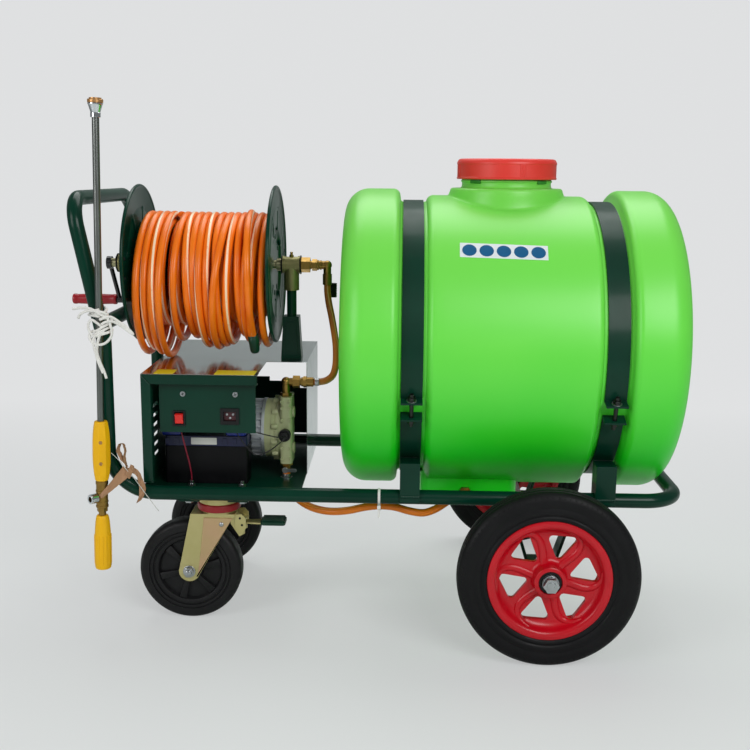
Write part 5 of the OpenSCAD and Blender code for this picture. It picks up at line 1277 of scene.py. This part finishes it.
# shallow moulded ribs along the lid's near edge, on both sides of the paper strip
lid_edge_z = 0.366
for k in (0, 1, 6, 7, 8):
    rib_at, rib_face = (-0.386 + 0.019 * k, -0.1455, lid_edge_z), round_corners(0.009, 0.012, 0.001, 3)
    dress(slab("lid_rib_%d" % (k + 1), rib_face, rib_at, *standing, 0.0012, 0.0004), lid_blue, "chassis")
dress(slab("battery_strip", round_corners(0.051, 0.014, 0.001, 3), (-0.3135, -0.1452, lid_edge_z), *standing,
           0.0007, 0.0002), white_paper, "chassis")
for name, x in (("terminal_cover_rear", -0.3785), ("terminal_cover_front", -0.251)):
    dress(slab(name, round_corners(0.040, 0.030, 0.005, 4), (x, -0.1285, 0.3762), *flat, 0.0125, 0.0035, 4),
          cover_blue, "chassis")

red_lead = coat(
    "red_lead_sheath", "#8f1730", "#6c0f24", 0.36, cloud=60, grain=400, relief=0.0003, strength=0.08,
    slot="lead_sheath")
black_lead = coat(
    "black_lead_sheath", "#1b1a1c", "#121113", 0.4, cloud=60, grain=400, relief=0.0003, strength=0.08,
    slot="black_plastic")
lead_routes = {
    "lead_down": [
        (-357, -173.9, 416), (-357, -170, 416), (-356, -166, 408), (-353, -166, 388), (-346, -164, 354),
        (-340, -161, 324), (-337, -158, 299), (-338, -156, 280.6)],
    "lead_terminal": [
        (-346, -173.9, 416), (-346, -170, 416), (-347, -166, 407), (-350, -162, 395), (-356, -151, 387),
        (-361, -141, 384.5), (-369, -132, 383.9)],
    "lead_sensor_upper": [
        (-248, -173.9, 422), (-248, -170, 422), (-245, -166, 413), (-234, -161, 400), (-214, -157, 390),
        (-189, -150, 382), (-171, -143, 376), (-160, -136, 374), (-158.5, -132.5, 374),
        (-158.5, -129.6, 374)],
    "lead_sensor_lower": [
        (-259, -173.9, 422), (-259, -170, 422), (-258, -166, 413), (-249, -161, 394), (-231, -157, 364),
        (-209, -153, 342), (-185, -147, 348), (-165, -141, 362), (-155, -136, 371), (-153.5, -132.5, 374),
        (-153.5, -129.6, 374)]}
for name, route in lead_routes.items():
    sheath, r = (black_lead, 0.0011) if "sensor" in name else (red_lead, 0.0015)
    solid = ["wiring"] if name == "lead_down" else []
    dress(tube(name, smooth_path(metres(route), 5), r, 12), sheath, "chassis", *solid)


# ---- Motor and pump ----
# A geared DC motor in cast aluminium with a finned end shield drives a diaphragm pump. The pump's disc and
# valve column are cast iron under a khaki lacquer, closed with a ring of screws.

# sand-cast aluminium, bead blasted: a bright, soft grain of 1 mm
cast_aluminium = coat(
    "blasted_cast_aluminium", "#d6d9dc", "#b4b9be", 0.45, cloud=20, grain=620, relief=0.0005, strength=0.3,
    rough_to=0.55, Metallic=0.85, slot="motor_alloy")
khaki_lacquer = coat(
    "khaki_lacquer_casting", "#babd92", "#a0a67a", 0.36, cloud=26, grain=330, relief=0.0006, strength=0.2,
    rough_to=0.5, Coat_Weight=0.2, slot="pump_casting")
eased("motor_body", cast_aluminium, 0.0006)
eased("pump_head", khaki_lacquer, 0.0016)
hex_head = turned_shape("hex_head", [(0.0045, -0.0005), (0.0045, 0.0), (0.0040, 0.0003), (0.0040, 0.0030),
                                     (0.0033, 0.0036), (0.0008, 0.0036)], 24, flats=(2, 3))
pump_y, pump_z = -0.050, 0.373
screw_turns = [2 * math.pi * (k + 0.5) / 12 for k in range(12)]


def round_pump(x, r, a):
    """A point round the pump's axis, a radians past its top."""
    return Vector((x, pump_y + r * math.sin(a), pump_z + r * math.cos(a)))


# the valve column hides the screws on the near side
ring_screws = [(round_pump(-0.159, 0.0535, a), (1, 0, 0)) for a in screw_turns if math.sin(a) > -0.8]
set_out("pump_ring_screws", hex_head, ring_screws, bright_steel, "chassis")
# joint flange round the disc, with a lug behind each screw
flange_line = [
    (0.0590, -0.0135), (0.0612, -0.0130), (0.0616, -0.0105), (0.0616, -0.0065), (0.0604, -0.0055),
    (0.0604, -0.0045), (0.0616, -0.0035), (0.0616, 0.0005), (0.0612, 0.0025), (0.0590, 0.0030),
    (0.0590, -0.0135)]
dress(lathe("pump_joint", flange_line, (-0.1730, pump_y, pump_z), (1, 0, 0), 96, 28), khaki_lacquer,
      "chassis")
lug_shape = turned_shape("lug_shape", [
    (0.0056, -0.0062), (0.0060, -0.0056), (0.0060, 0.0056), (0.0056, 0.0062)], 16)
lugs = [(round_pump(-0.1780, 0.0608, a), (1, 0, 0)) for a in screw_turns]
set_out("pump_lugs", lug_shape, lugs, khaki_lacquer, "chassis")
cap_screw = turned_shape("cap_screw", [
    (0.0034, -0.0005), (0.0034, 0.0026), (0.0030, 0.0030), (0.0016, 0.0030), (0.0014, 0.0014),
    (0.0003, 0.0012)], 20)
column_screws = [((-0.155 + dx, -0.1079, z), (0, -1, 0)) for dx in (-0.0075, 0.0075)
                 for z in (0.3215, 0.3435, 0.4015, 0.4265, 0.4395)]
set_out("column_screws", cap_screw, column_screws, khaki_lacquer, "chassis")
eased("outlet_fitting", turned_brass, 0.0006)
eased("inlet_fitting", turned_brass, 0.0006)
eased("valve_lever", bright_steel, 0.0005)
eased("pressure_switch", black_plastic, 0.001)
switch_rim = [
    (0.0096, -0.0006), (0.0121, -0.0006), (0.0124, 0.0006), (0.0121, 0.0030), (0.0096, 0.0034),
    (0.0096, -0.0006)]
dress(lathe("pressure_switch_rim", switch_rim, (-0.156, -0.1235, 0.374), (0, -1, 0), 40), black_plastic,
      "chassis")


def clamp(name, at, along, r):
    """A worm-drive hose clip: a thin band with a screw housing on it."""
    strip = [(r + 0.0001, -0.0040), (r + 0.0009, -0.0042), (r + 0.0009, 0.0042), (r + 0.0001, 0.0040)]
    dress(lathe(name, strip + strip[:1], at, along, 40), bright_steel, "chassis")
    axis = Vector(along).normalized()
    side = axis.cross(Vector((0, 1, 0))).normalized()
    house = slab(name + "_housing", round_corners(0.0070, 0.0064, 0.001, 3),
                 Vector(at) + Vector((0, -1, 0)) * (r + 0.0005), axis, side, 0.0042, 0.0008)
    dress(house, bright_steel, "chassis")


clamp("outlet_clip", (-0.0935, -0.088, 0.4772), (1, 0, 0.05), 0.007)
clamp("suction_clip_tank", (0.1755, -0.168, 0.2620), (-1, 0, -0.3), 0.0075)
clamp("suction_clip_pump", (-0.1558, -0.0885, 0.2815), (-0.03, 0.03, 1), 0.0075)


# ---- Reel ----
# Two pressed steel flanges on a rolled drum turn on a steel spindle. Its bearings are sand-cast and plated a
# dull bronze; one is screwed on the stand, one on the stub of the brace. The crank has a red plastic grip.

bearing_bronze = coat(
    "plated_bearing_casting", "#9c9766", "#75714a", 0.36, cloud=40, grain=420, relief=0.0005, strength=0.22,
    rough_to=0.5, Metallic=0.75, slot="bearing_metal")
spindle_zinc = coat(
    "zinc_plated_bar", "#bdb894", "#8f8b66", 0.3, cloud=50, grain=900, relief=0.0002, strength=0.1,
    rough_to=0.42, Metallic=1.0, slot="zinc")
black_enamel = coat(
    "black_enamel", "#19191b", "#0f0f11", 0.26, cloud=20, grain=500, relief=0.0003, strength=0.08,
    Coat_Weight=0.3, slot="black_plastic")
washer_black = coat(
    "black_oxide_washer", "#1d1c1b", "#121211", 0.35, cloud=60, grain=500, relief=0.0002, strength=0.1,
    Metallic=0.6, slot="black_plastic")
red_grip = coat(
    "red_grip_plastic", "#b80d1e", "#960818", 0.3, cloud=24, grain=400, relief=0.0003, strength=0.08,
    rough_to=0.4, slot="red_plastic")
eased("reel_post", box_green, 0.0012)
for node in ("bearing_front", "bearing_rear"):
    eased(node, bearing_bronze, 0.0012)
eased("reel_drum", green_powder_coat, 0.0004)
eased("reel_spindle", spindle_zinc, 0.0005)
eased("crank_arm", black_enamel, 0.0008)
eased("swivel_elbow", turned_brass, 0.0007)
post_hollow = [(-0.0150, 0.004), (0.0150, 0.004), (0.0105, 0.077), (-0.0105, 0.077)]
for side, y in (("near", -0.0177), ("far", 0.0191)):
    dress(slab("stand_panel_" + side, post_hollow, (-0.153, y, 0.512), *standing, 0.0014, 0.0010, 3),
          box_green, "chassis")

half_flange = [
    (0.0092, -0.0012), (0.0690, -0.0012), (0.0725, -0.0004), (0.0765, 0.0034), (0.0800, 0.0040),
    (0.1085, 0.0040), (0.1105, 0.0048), (0.1145, 0.0048), (0.1165, 0.0040), (0.1500, 0.0040),
    (0.1518, 0.0034)]
half_flange += round_corner((0.1565, 0.0050), 0.0035, 215, 505, 20)
half_flange += [
    (0.1516, 0.0060), (0.1500, 0.0060), (0.1165, 0.0060), (0.1145, 0.0068), (0.1105, 0.0068),
    (0.1085, 0.0060), (0.0798, 0.0060), (0.0752, 0.0050), (0.0715, 0.0016), (0.0688, 0.0012),
    (0.0092, 0.0012), (0.0092, -0.0012)]
press_rib = slab("press_rib", round_corners(0.0145, 0.0500, 0.0070, 6), (0, 0, -0.0019), *flat, 0.0038,
                 0.0016, 4)
rivet_cup = turned_shape("rivet_cup", [
    (0.0060, -0.0016), (0.0060, 0.0), (0.0054, 0.0012), (0.0040, 0.0018), (0.0014, 0.0021)], 20)


def stamped(name, rib, spots):
    """Copies of a rib in one mesh; a spot is its place and the directions of its width, length and height."""
    form = bmesh.new()
    for place, *axes in spots:
        spot = Matrix(axes).transposed().to_4x4()
        spot.translation = place
        copy = rib.data.copy()
        copy.transform(spot)
        form.from_mesh(copy)
    mesh = bpy.data.meshes.new(name)
    form.to_mesh(mesh)
    form.free()
    return keep(name, crease(mesh, 40))


rib_turns = [math.radians(45 * k + 12) for k in range(8)]
hole_turns = [math.radians(a) for a in (262, 278, 82, 98)]
for name, x, out in (("rear", reel_rear, -1), ("front", reel_front, 1)):
    flange = lathe("reel_flange_" + name, half_flange, (x, 0, reel_axis), (out, 0, 0), 144, 40)
    dress(flange, green_powder_coat, "reel", *(["reel_flanges"] if name == "rear" else []))
    # the ribs stand along the rays, half sunk in the sheet
    way = Vector((out, 0, 0))
    ribs, rivets = [], []
    for a in rib_turns:
        ray = Vector((0, math.sin(a), math.cos(a)))
        ribs.append((Vector((x + out * 0.0050, 0, reel_axis)) + ray * 0.0945, way.cross(ray), ray, way))
        rivets.append((Vector((x + out * 0.0010, 0, reel_axis)) + ray * 0.0575, way))
    # painted shade: the flange's holes are black dots on both of its faces
    holes = [(loop_point(x + out * 0.0050 + e * 0.0010, 0.1370, -a), (e, 0, 0)) for a in hole_turns
             for e in (-1, 1)]
    dress(stamped("reel_ribs_" + name, press_rib, ribs), green_powder_coat, "reel")
    set_out("reel_rivets_" + name, rivet_cup, rivets, green_powder_coat, "reel")
    set_out("reel_holes_" + name, small_dot, holes, hole_shade_black, "reel", 1.5)
bpy.data.objects.remove(press_rib)

# black washers at both ends of each bearing, and a grease nipple on top
washer_ring = band(0.0095, 0.0194, 0.0013, 0.0008, 0.0005)
for name, x in (("a", -0.5105), ("b", -0.4720), ("c", -0.1724), ("d", -0.1340)):
    dress(lathe("bearing_washer_" + name, washer_ring, (x, 0, reel_axis), (1, 0, 0), 48), washer_black,
          "chassis")
nipple = turned_shape("nipple", [
    (0.0044, -0.001), (0.0044, 0.0034), (0.0030, 0.0040), (0.0026, 0.0068), (0.0032, 0.0078),
    (0.0028, 0.0094), (0.0010, 0.0100)], 16, flats=(0, 1))
nipples = [((x, 0, reel_axis + 0.0164), (0, 0, 1)) for x in (-0.153, brace_x)]
set_out("grease_nipples", nipple, nipples, turned_brass, "chassis")
# rings and grooves of the swivel
for name, x, r in (("swivel_ring_a", -0.1180, 0.0112), ("swivel_ring_b", -0.0985, 0.0104),
                   ("swivel_ring_c", -0.0930, 0.0098)):
    dress(lathe(name, band(0.0080, r, 0.0018, ease_h=0.0006), (x, 0, reel_axis), (1, 0, 0), 40), turned_brass,
          "chassis")
# ribbed black ferrule of the delivery hose under the elbow
ferrule_top, ferrule_bore = 0.6645, 0.0072
ferrule = [(ferrule_bore, ferrule_top)]
for k in range(9):
    z = ferrule_top - 0.0034 * k
    ferrule += [(0.0088, z), (0.0096, z - 0.0008), (0.0096, z - 0.0018), (0.0088, z - 0.0026)]
ferrule += [(ferrule_bore, ferrule[-1][1]), ferrule[0]]
dress(lathe("delivery_ferrule", ferrule, (-0.0792, -0.0008, 0), (0.012, 0.06, 1), 36), black_plastic,
      "chassis")

grip_line = [
    (0.0048, 0.0004), (0.0090, 0.0004), (0.0104, 0.0012), (0.0110, 0.0032), (0.0110, 0.0070),
    (0.0103, 0.0092), (0.0106, 0.0180), (0.0110, 0.0300), (0.0112, 0.0480), (0.0110, 0.0640),
    (0.0104, 0.0790), (0.0102, 0.0850), (0.0110, 0.0872), (0.0110, 0.0915), (0.0102, 0.0940),
    (0.0086, 0.0949), (0.0048, 0.0949)]
crank_y, crank_z = 0.0647, 0.620
grip = lathe("crank_grip_moulded", grip_line + grip_line[:1], (-0.5335, crank_y, crank_z), (-1, 0, 0), 64, 35)
dress(grip, red_grip, "crank_handle", "crank_grip")


# ---- Lance ----
# A straight steel spray tube with a chromed nozzle and a brass ring at its mouth. Below are a yellow grip in
# two screwed halves, a brass valve with the hose inlet, and a yellow turning grip with long ribs.

lean = math.radians(1.4)
lance_up = Vector((math.sin(lean), 0, math.cos(lean)))
lance_foot = Vector((-0.4965, -0.239, 0.134))


def up_lance(h):
    """A point on the lance's axis, a height above its foot."""
    return lance_foot + lance_up * h


# drawn steel tube: bright lines along it, a few hairs apart, drawn 2 mm apart
drawn_steel = coat(
    "drawn_steel_tube", "#8e928e", "#5d605e", 0.3, cloud=14, grain=160, relief=0.0003, strength=0.1,
    rough_to=0.4, stretch=(6.0, 6.0, 0.5), Metallic=1.0, slot="steel")
chrome = coat(
    "bright_chrome", "#dfe2e4", "#cfd3d6", 0.06, cloud=30, grain=300, relief=0.0002, strength=0.03,
    Metallic=1.0, slot="nozzle_metal")
yellow_plastic = coat(
    "yellow_grip_plastic", "#fac208", "#eeb004", 0.4, cloud=22, grain=520, relief=0.0004, strength=0.14,
    rough_to=0.5, Specular_IOR_Level=0.3, slot="yellow_plastic")
tan_ring = coat(
    "tan_brass_ring", "#d0a06a", "#b07f4a", 0.32, cloud=60, grain=500, relief=0.0002, strength=0.08,
    Metallic=0.6, slot="brass")
eased("lance_tube", drawn_steel, 0.0004)
collar = [
    (0.0060, 0.0), (0.0088, 0.0), (0.0091, 0.0004), (0.0091, 0.0076), (0.0086, 0.0082), (0.0088, 0.0092),
    (0.0106, 0.0150), (0.0124, 0.0205), (0.0130, 0.0222), (0.0136, 0.0228), (0.0136, 0.0246),
    (0.0128, 0.0252), (0.0070, 0.0252), (0.0060, 0.0)]
dress(lathe("lance_nozzle_turned", collar, up_lance(0.849), lance_up, 40, 28), chrome, "chassis",
      "lance_nozzle")
mouth = [
    (0.0070, 0.0), (0.0132, 0.0), (0.0140, 0.0006), (0.0140, 0.0052), (0.0134, 0.0062), (0.0110, 0.0064),
    (0.0110, 0.0086), (0.0098, 0.0088), (0.0060, 0.0070), (0.0020, 0.0062), (0.0020, 0.0040), (0.0070, 0.0)]
dress(lathe("lance_mouth", mouth, up_lance(0.8742), lance_up, 40, 28), tan_ring, "chassis")


def grip_loft(name, rows, sides=48):
    """A grip along the lance: each row is a height, a radius and how far it is turned to an octagon."""
    first = Vector((0, 1, 0)).cross(lance_up).normalized()
    other = lance_up.cross(first)
    corner = math.pi / 8
    verts = []
    for h, r, square in rows:
        for k in range(sides):
            a = 2 * math.pi * k / sides
            squared = min(math.cos(corner) / math.cos((a % (2 * corner)) - corner) * 1.05, 1.04)
            reach = r * (1 + (squared - 1) * square)
            verts.append(up_lance(h) + reach * (math.cos(a) * first + math.sin(a) * other))
    mesh = mesh_of(name, verts, end_caps(len(rows), sides) + ring_faces(len(rows), sides))
    return keep(name, crease(mesh, 24))


front = grip_loft("lance_grip_front_halves", [
    (0.1772, 0.0112, 0), (0.1784, 0.0126, 0.3), (0.188, 0.0143, 1), (0.196, 0.0152, 1), (0.212, 0.0164, 1),
    (0.225, 0.0165, 1), (0.252, 0.0162, 1), (0.268, 0.0155, 1), (0.280, 0.0142, 1), (0.288, 0.0130, 1),
    (0.2918, 0.0122, 0.6), (0.293, 0.0108, 0)])
dress(front, yellow_plastic, "chassis", "lance_grip_front")
# a flush brass screw near each end of the front grip
grip_screw = turned_shape("grip_screw", [
    (0.0034, -0.001), (0.0034, 0.0003), (0.0028, 0.0009), (0.0014, 0.0010), (0.0011, 0.0001),
    (0.0003, 0.0000)], 18)
screws = [(up_lance(h) + Vector((0.003, -r, 0)), (0.1, -1, 0))
          for h, r in ((0.2135, 0.0163), (0.2545, 0.0160))]
set_out("grip_screws", grip_screw, screws, tan_ring, "chassis")
rear = grip_loft("lance_grip_rear_turned", [(0.0004, 0.0128, 0), (0.0016, 0.0146, 0), (0.006, 0.0156, 0),
                                            (0.010, 0.0160, 0), (0.030, 0.0161, 0.2), (0.060, 0.0158, 0.5),
                                            (0.078, 0.0150, 0.6), (0.094, 0.0136, 0.5), (0.1015, 0.0126, 0.2),
                                            (0.1062, 0.0112, 0), (0.1076, 0.0102, 0)])
dress(rear, yellow_plastic, "lance_rear_grip", "lance_grip_rear")
long_rib = slab("long_rib", round_corners(0.0030, 0.058, 0.0014, 4), (0, 0, -0.0012), *flat, 0.0022, 0.0008)
ribs = []
for k in range(14):
    a = 2 * math.pi * k / 14
    ray = Vector((math.cos(a), math.sin(a), 0))
    ray = (ray - lance_up * ray.dot(lance_up)).normalized()
    ribs.append((up_lance(0.040) + ray * 0.0155, lance_up.cross(ray), lance_up, ray))
dress(stamped("rear_grip_ribs", long_rib, ribs), yellow_plastic, "lance_rear_grip")
bpy.data.objects.remove(long_rib)

# the valve: CAD body with rings turned on it, a knurled collar and the chromed inlet with its bore in shade
eased("lance_valve", turned_brass, 0.0006)
for name, h, r, w in (("valve_ring_low", 0.1262, 0.0118, 0.0022), ("valve_ring_mid", 0.1350, 0.0117, 0.0016),
                      ("valve_ring_top", 0.1560, 0.0118, 0.0022), ("valve_ring_neck", 0.1725, 0.0118, 0.0030)):
    dress(lathe(name, band(0.0090, r, w), up_lance(h), lance_up, 40), turned_brass, "chassis")
inlet_way = Vector((-0.643, -0.766, 0.016)).normalized()
inlet_at = up_lance(0.144)
sleeve = [
    (0.0052, 0.0122), (0.0088, 0.0122), (0.0092, 0.0128), (0.0092, 0.0232), (0.0086, 0.0240),
    (0.0088, 0.0246), (0.0092, 0.0252), (0.0092, 0.0262), (0.0086, 0.0268), (0.0056, 0.0268),
    (0.0052, 0.0262), (0.0052, 0.0122)]
dress(lathe("inlet_sleeve", sleeve, inlet_at, inlet_way, 40, 28), chrome, "chassis")
bore = [
    (0.0051, 0.0266), (0.00518, 0.0266), (0.00518, 0.0062), (0.0, 0.0062), (0.0, 0.0058), (0.0051, 0.0064),
    (0.0051, 0.0266)]
# painted shade: the inside of the bore is lined in black
dress(lathe("inlet_bore", bore, inlet_at, inlet_way, 28), hole_shade_black, "chassis")


# ---- Ties ----
# White cotton cord lashes the lance to the upright in a loose, messy knot; a strip of brown kraft paper is
# wound on the valve and knotted round the foot of the upright; a white tie holds the suction hose up.

# laid cotton cord: three strands, 4 mm a turn, dull and fuzzy
cotton_cord = coat(
    "laid_cotton_cord", "#f3f2ee", "#dcdad3", 0.85, cloud=60, grain=900, relief=0.0006, strength=0.3,
    Sheen_Weight=0.3, slot="white_cord")
kraft_paper = coat(
    "kraft_paper", "#b98f6c", "#96704f", 0.75, cloud=30, grain=260, relief=0.0006, strength=0.25)
nylon_white = coat(
    "white_nylon", "#e9e9e4", "#dadad4", 0.42, cloud=40, grain=400, relief=0.0002, strength=0.08,
    slot="white_cord")


def cord_piece(name, points, r, sides=10):
    """A piece of cord along points in millimetres."""
    return tube(name, smooth_path(metres(points)), r, sides)


# three turns round the lance and the upright, narrower round the lance
lance_mid, post_mid = Vector((-484.6, -239.0)), Vector((-495.0, -208.0))
reach = (lance_mid - post_mid).normalized()
cross = Vector((-reach.y, reach.x))
lashing_deep, lashing_z, lashing_pitch = 33.5, 620, 6.5
lashing = []
for k in range(3 * 16 + 1):
    a = 2 * math.pi * k / 16
    wide = (16.2 + 1.2 * math.sin(a * 0.37)) * (1 - 0.28 * max(0, math.cos(a)))
    p = (lance_mid + post_mid) / 2 + reach * (lashing_deep * math.cos(a) - 3) + cross * wide * math.sin(a)
    lashing.append((p.x, p.y, lashing_z + lashing_pitch * k / 16 + 2.0 * math.sin(a * 1.3 + 1)))
dress(cord_piece("lance_lashing", lashing, 0.0023), cotton_cord, "chassis", "ties")
cord_ends = {
    "cord_tail_left": ([
        (-466, -254, 624), (-472, -257, 629), (-481, -256, 634), (-497, -250, 641), (-514, -245, 642),
        (-532, -240, 639)], 0.0026),
    "cord_tail_left_back": ([
        (-466, -252, 631), (-475, -256, 636), (-491, -252, 637), (-505, -248, 636), (-517, -246, 630),
        (-522, -243, 622)], 0.0024),
    "cord_knot_ring": ([
        (-473, -250, 606), (-478, -253, 610), (-486, -255, 617), (-495, -254, 621), (-501, -253, 611),
        (-499, -252, 598), (-491, -254, 591), (-480, -255, 595), (-472, -252, 600)], 0.0024),
    "cord_big_loop": ([
        (-474, -252, 630), (-465, -254, 625), (-460, -252, 610), (-459, -250, 593), (-468, -252, 580),
        (-480, -254, 575), (-493, -254, 578), (-500, -252, 589), (-497, -249, 600)], 0.0025),
    "cord_tail_right": ([
        (-478, -255, 622), (-470, -257, 625), (-459, -250, 626), (-446, -244, 616), (-433, -240, 605),
        (-423, -238, 594)], 0.0026),
    "cord_tail_right_low": ([
        (-476, -255, 613), (-467, -256, 618), (-456, -251, 618), (-443, -244, 609), (-431, -240, 599),
        (-421, -239, 592)], 0.0024),
    "cord_tail_low": ([
        (-480, -256, 592), (-484, -255, 580), (-487, -252, 561), (-483, -250, 542), (-477, -250, 527),
        (-472, -250, 511)], 0.0025),
    "cord_tail_low_side": ([
        (-488, -255, 594), (-493, -254, 580), (-490, -251, 557), (-485, -250, 538), (-478, -250, 521)], 0.0024),
    "cord_wrap_upper": ([
        (-500, -236, 596), (-494, -247, 599), (-485, -252.5, 601), (-476, -253.5, 607), (-467, -250, 612),
        (-461, -240, 616), (-466, -226, 618)], 0.0026),
    "cord_wrap_lower": ([
        (-501, -236, 582), (-495, -247, 585), (-488, -252.5, 590), (-478, -253.5, 594), (-467, -250, 597),
        (-461, -240, 600), (-467, -226, 603)], 0.0026),
    "cord_wrap_between": ([
        (-501, -238, 590), (-492, -249, 593), (-480, -254, 599), (-469, -251.5, 604), (-462, -242, 608)], 0.0023)}
for name, (points, r) in cord_ends.items():
    dress(cord_piece(name, points, r), cotton_cord, "chassis")


def ribbon(name, left, right, thick=0.0003, across=5):
    """A strip of paper between two edge lines, a little crumpled across."""
    rails = [smooth_path(metres(side), 6) for side in (left, right)]
    verts = []
    for i, (a, b) in enumerate(zip(*rails)):
        for j in range(across + 1):
            p = a.lerp(b, j / across)
            p.y += 0.0011 * math.sin(i * 0.9 + 1.3 * j) + 0.0008 * math.sin(2.1 * i + j * 2.4)
            verts.append(p)
    row = across + 1
    faces = [(i * row + j, i * row + j + 1, (i + 1) * row + j + 1, (i + 1) * row + j)
             for i in range(len(rails[0]) - 1) for j in range(across)]
    piece = keep(name + "_raw", mesh_of(name, verts, faces))
    wall = piece.modifiers.new("wall", "SOLIDIFY")
    wall.thickness = thick
    wall.offset = 0
    piece = plain_copy(piece, name)
    crease(piece.data, 60)
    return dress(piece, kraft_paper, "chassis")


ribbon("paper_band", [
    (-500, -243, 281), (-493, -252, 287), (-479, -245, 303), (-465, -237, 321), (-452, -229, 337)], [
    (-497, -249, 277), (-487, -252, 281), (-470, -245, 294), (-454, -237, 307), (-439, -229, 319)])
ribbon("paper_loop", [
    (-445, -225, 334), (-452, -226, 352), (-458, -227, 368), (-455, -227, 380), (-449, -226, 378),
    (-447, -225, 366), (-449, -224, 352), (-446, -223, 336)], [
    (-443, -233, 336), (-457, -235, 352), (-463, -236, 369), (-458, -236, 382), (-451, -235, 380),
    (-449, -234, 366), (-452, -233, 351), (-446, -232, 334)])
ribbon("paper_tail", [
    (-452, -229, 326), (-444, -231, 324), (-431, -230, 321), (-426, -229, 309), (-424, -229, 291),
    (-425, -230, 277), (-430, -231, 263)], [
    (-449, -226, 335), (-443, -227, 333), (-428, -227, 331), (-418, -227, 314), (-412, -227, 293),
    (-415, -228, 279), (-421, -229, 269)])
ribbon("paper_knot", [
    (-452, -232, 318), (-447, -234, 326), (-441, -234, 334), (-438, -230, 341)], [
    (-441, -231, 312), (-436, -234, 321), (-433, -233, 329), (-432, -228, 336)])
thread_route = [
    (-471, -243, 366), (-459, -236, 350), (-447, -234, 333), (-433, -232, 315), (-417, -231, 291),
    (-400, -229, 265), (-388, -227, 247)]
dress(cord_piece("paper_thread", thread_route, 0.0007, 6), white_paper, "chassis")

# cable tie: a flat loop round the rail and the hose, with its square head and cut tail
tie_x, tie_half, tie_thick = 0.036, 0.0024, 0.0011
tie_rail, tie_hose = Vector((rail_y, rail_z)), Vector((0.170, 0.247))
span = tie_hose - tie_rail
gap = span.length
tie_r = (0.0146, 0.0081)
lean_tie = math.acos((tie_r[0] - tie_r[1]) / gap)
base = math.atan2(span.y, span.x)
loop = []
for k in range(25):
    a = base + lean_tie + (2 * math.pi - 2 * lean_tie) * k / 24
    loop.append(tie_rail + tie_r[0] * Vector((math.cos(a), math.sin(a))))
for k in range(13):
    a = base - lean_tie + 2 * lean_tie * k / 12
    loop.append(tie_hose + tie_r[1] * Vector((math.cos(a), math.sin(a))))
verts = []
for p, q, r in zip(loop, loop[1:] + loop[:1], loop[-1:] + loop[:-1]):
    run = (q - r).normalized()
    out = Vector((run.y, -run.x))
    for x, lift in ((-tie_half, 0.0), (tie_half, 0.0), (tie_half, tie_thick), (-tie_half, tie_thick)):
        verts.append((tie_x + x, -(p.x + out.x * lift), p.y + out.y * lift))
n = len(loop)
faces = [(4 * i + j, 4 * i + (j + 1) % 4, 4 * ((i + 1) % n) + (j + 1) % 4, 4 * ((i + 1) % n) + j)
         for i in range(n) for j in range(4)]
dress(keep("hose_tie", crease(mesh_of("hose_tie", verts, faces), 40)), nylon_white, "chassis")
dress(slab("hose_tie_head", round_corners(0.0070, 0.0066, 0.001, 3), (tie_x, -0.2228, 0.262), *standing,
           0.0050, 0.001), nylon_white, "chassis")
dress(slab("hose_tie_tail", round_corners(0.0040, 0.018, 0.0006, 3), (tie_x, -0.2240, 0.250), (1, 0, 0),
           (0, 0.1, 1), tie_thick, 0.0003), nylon_white, "chassis")
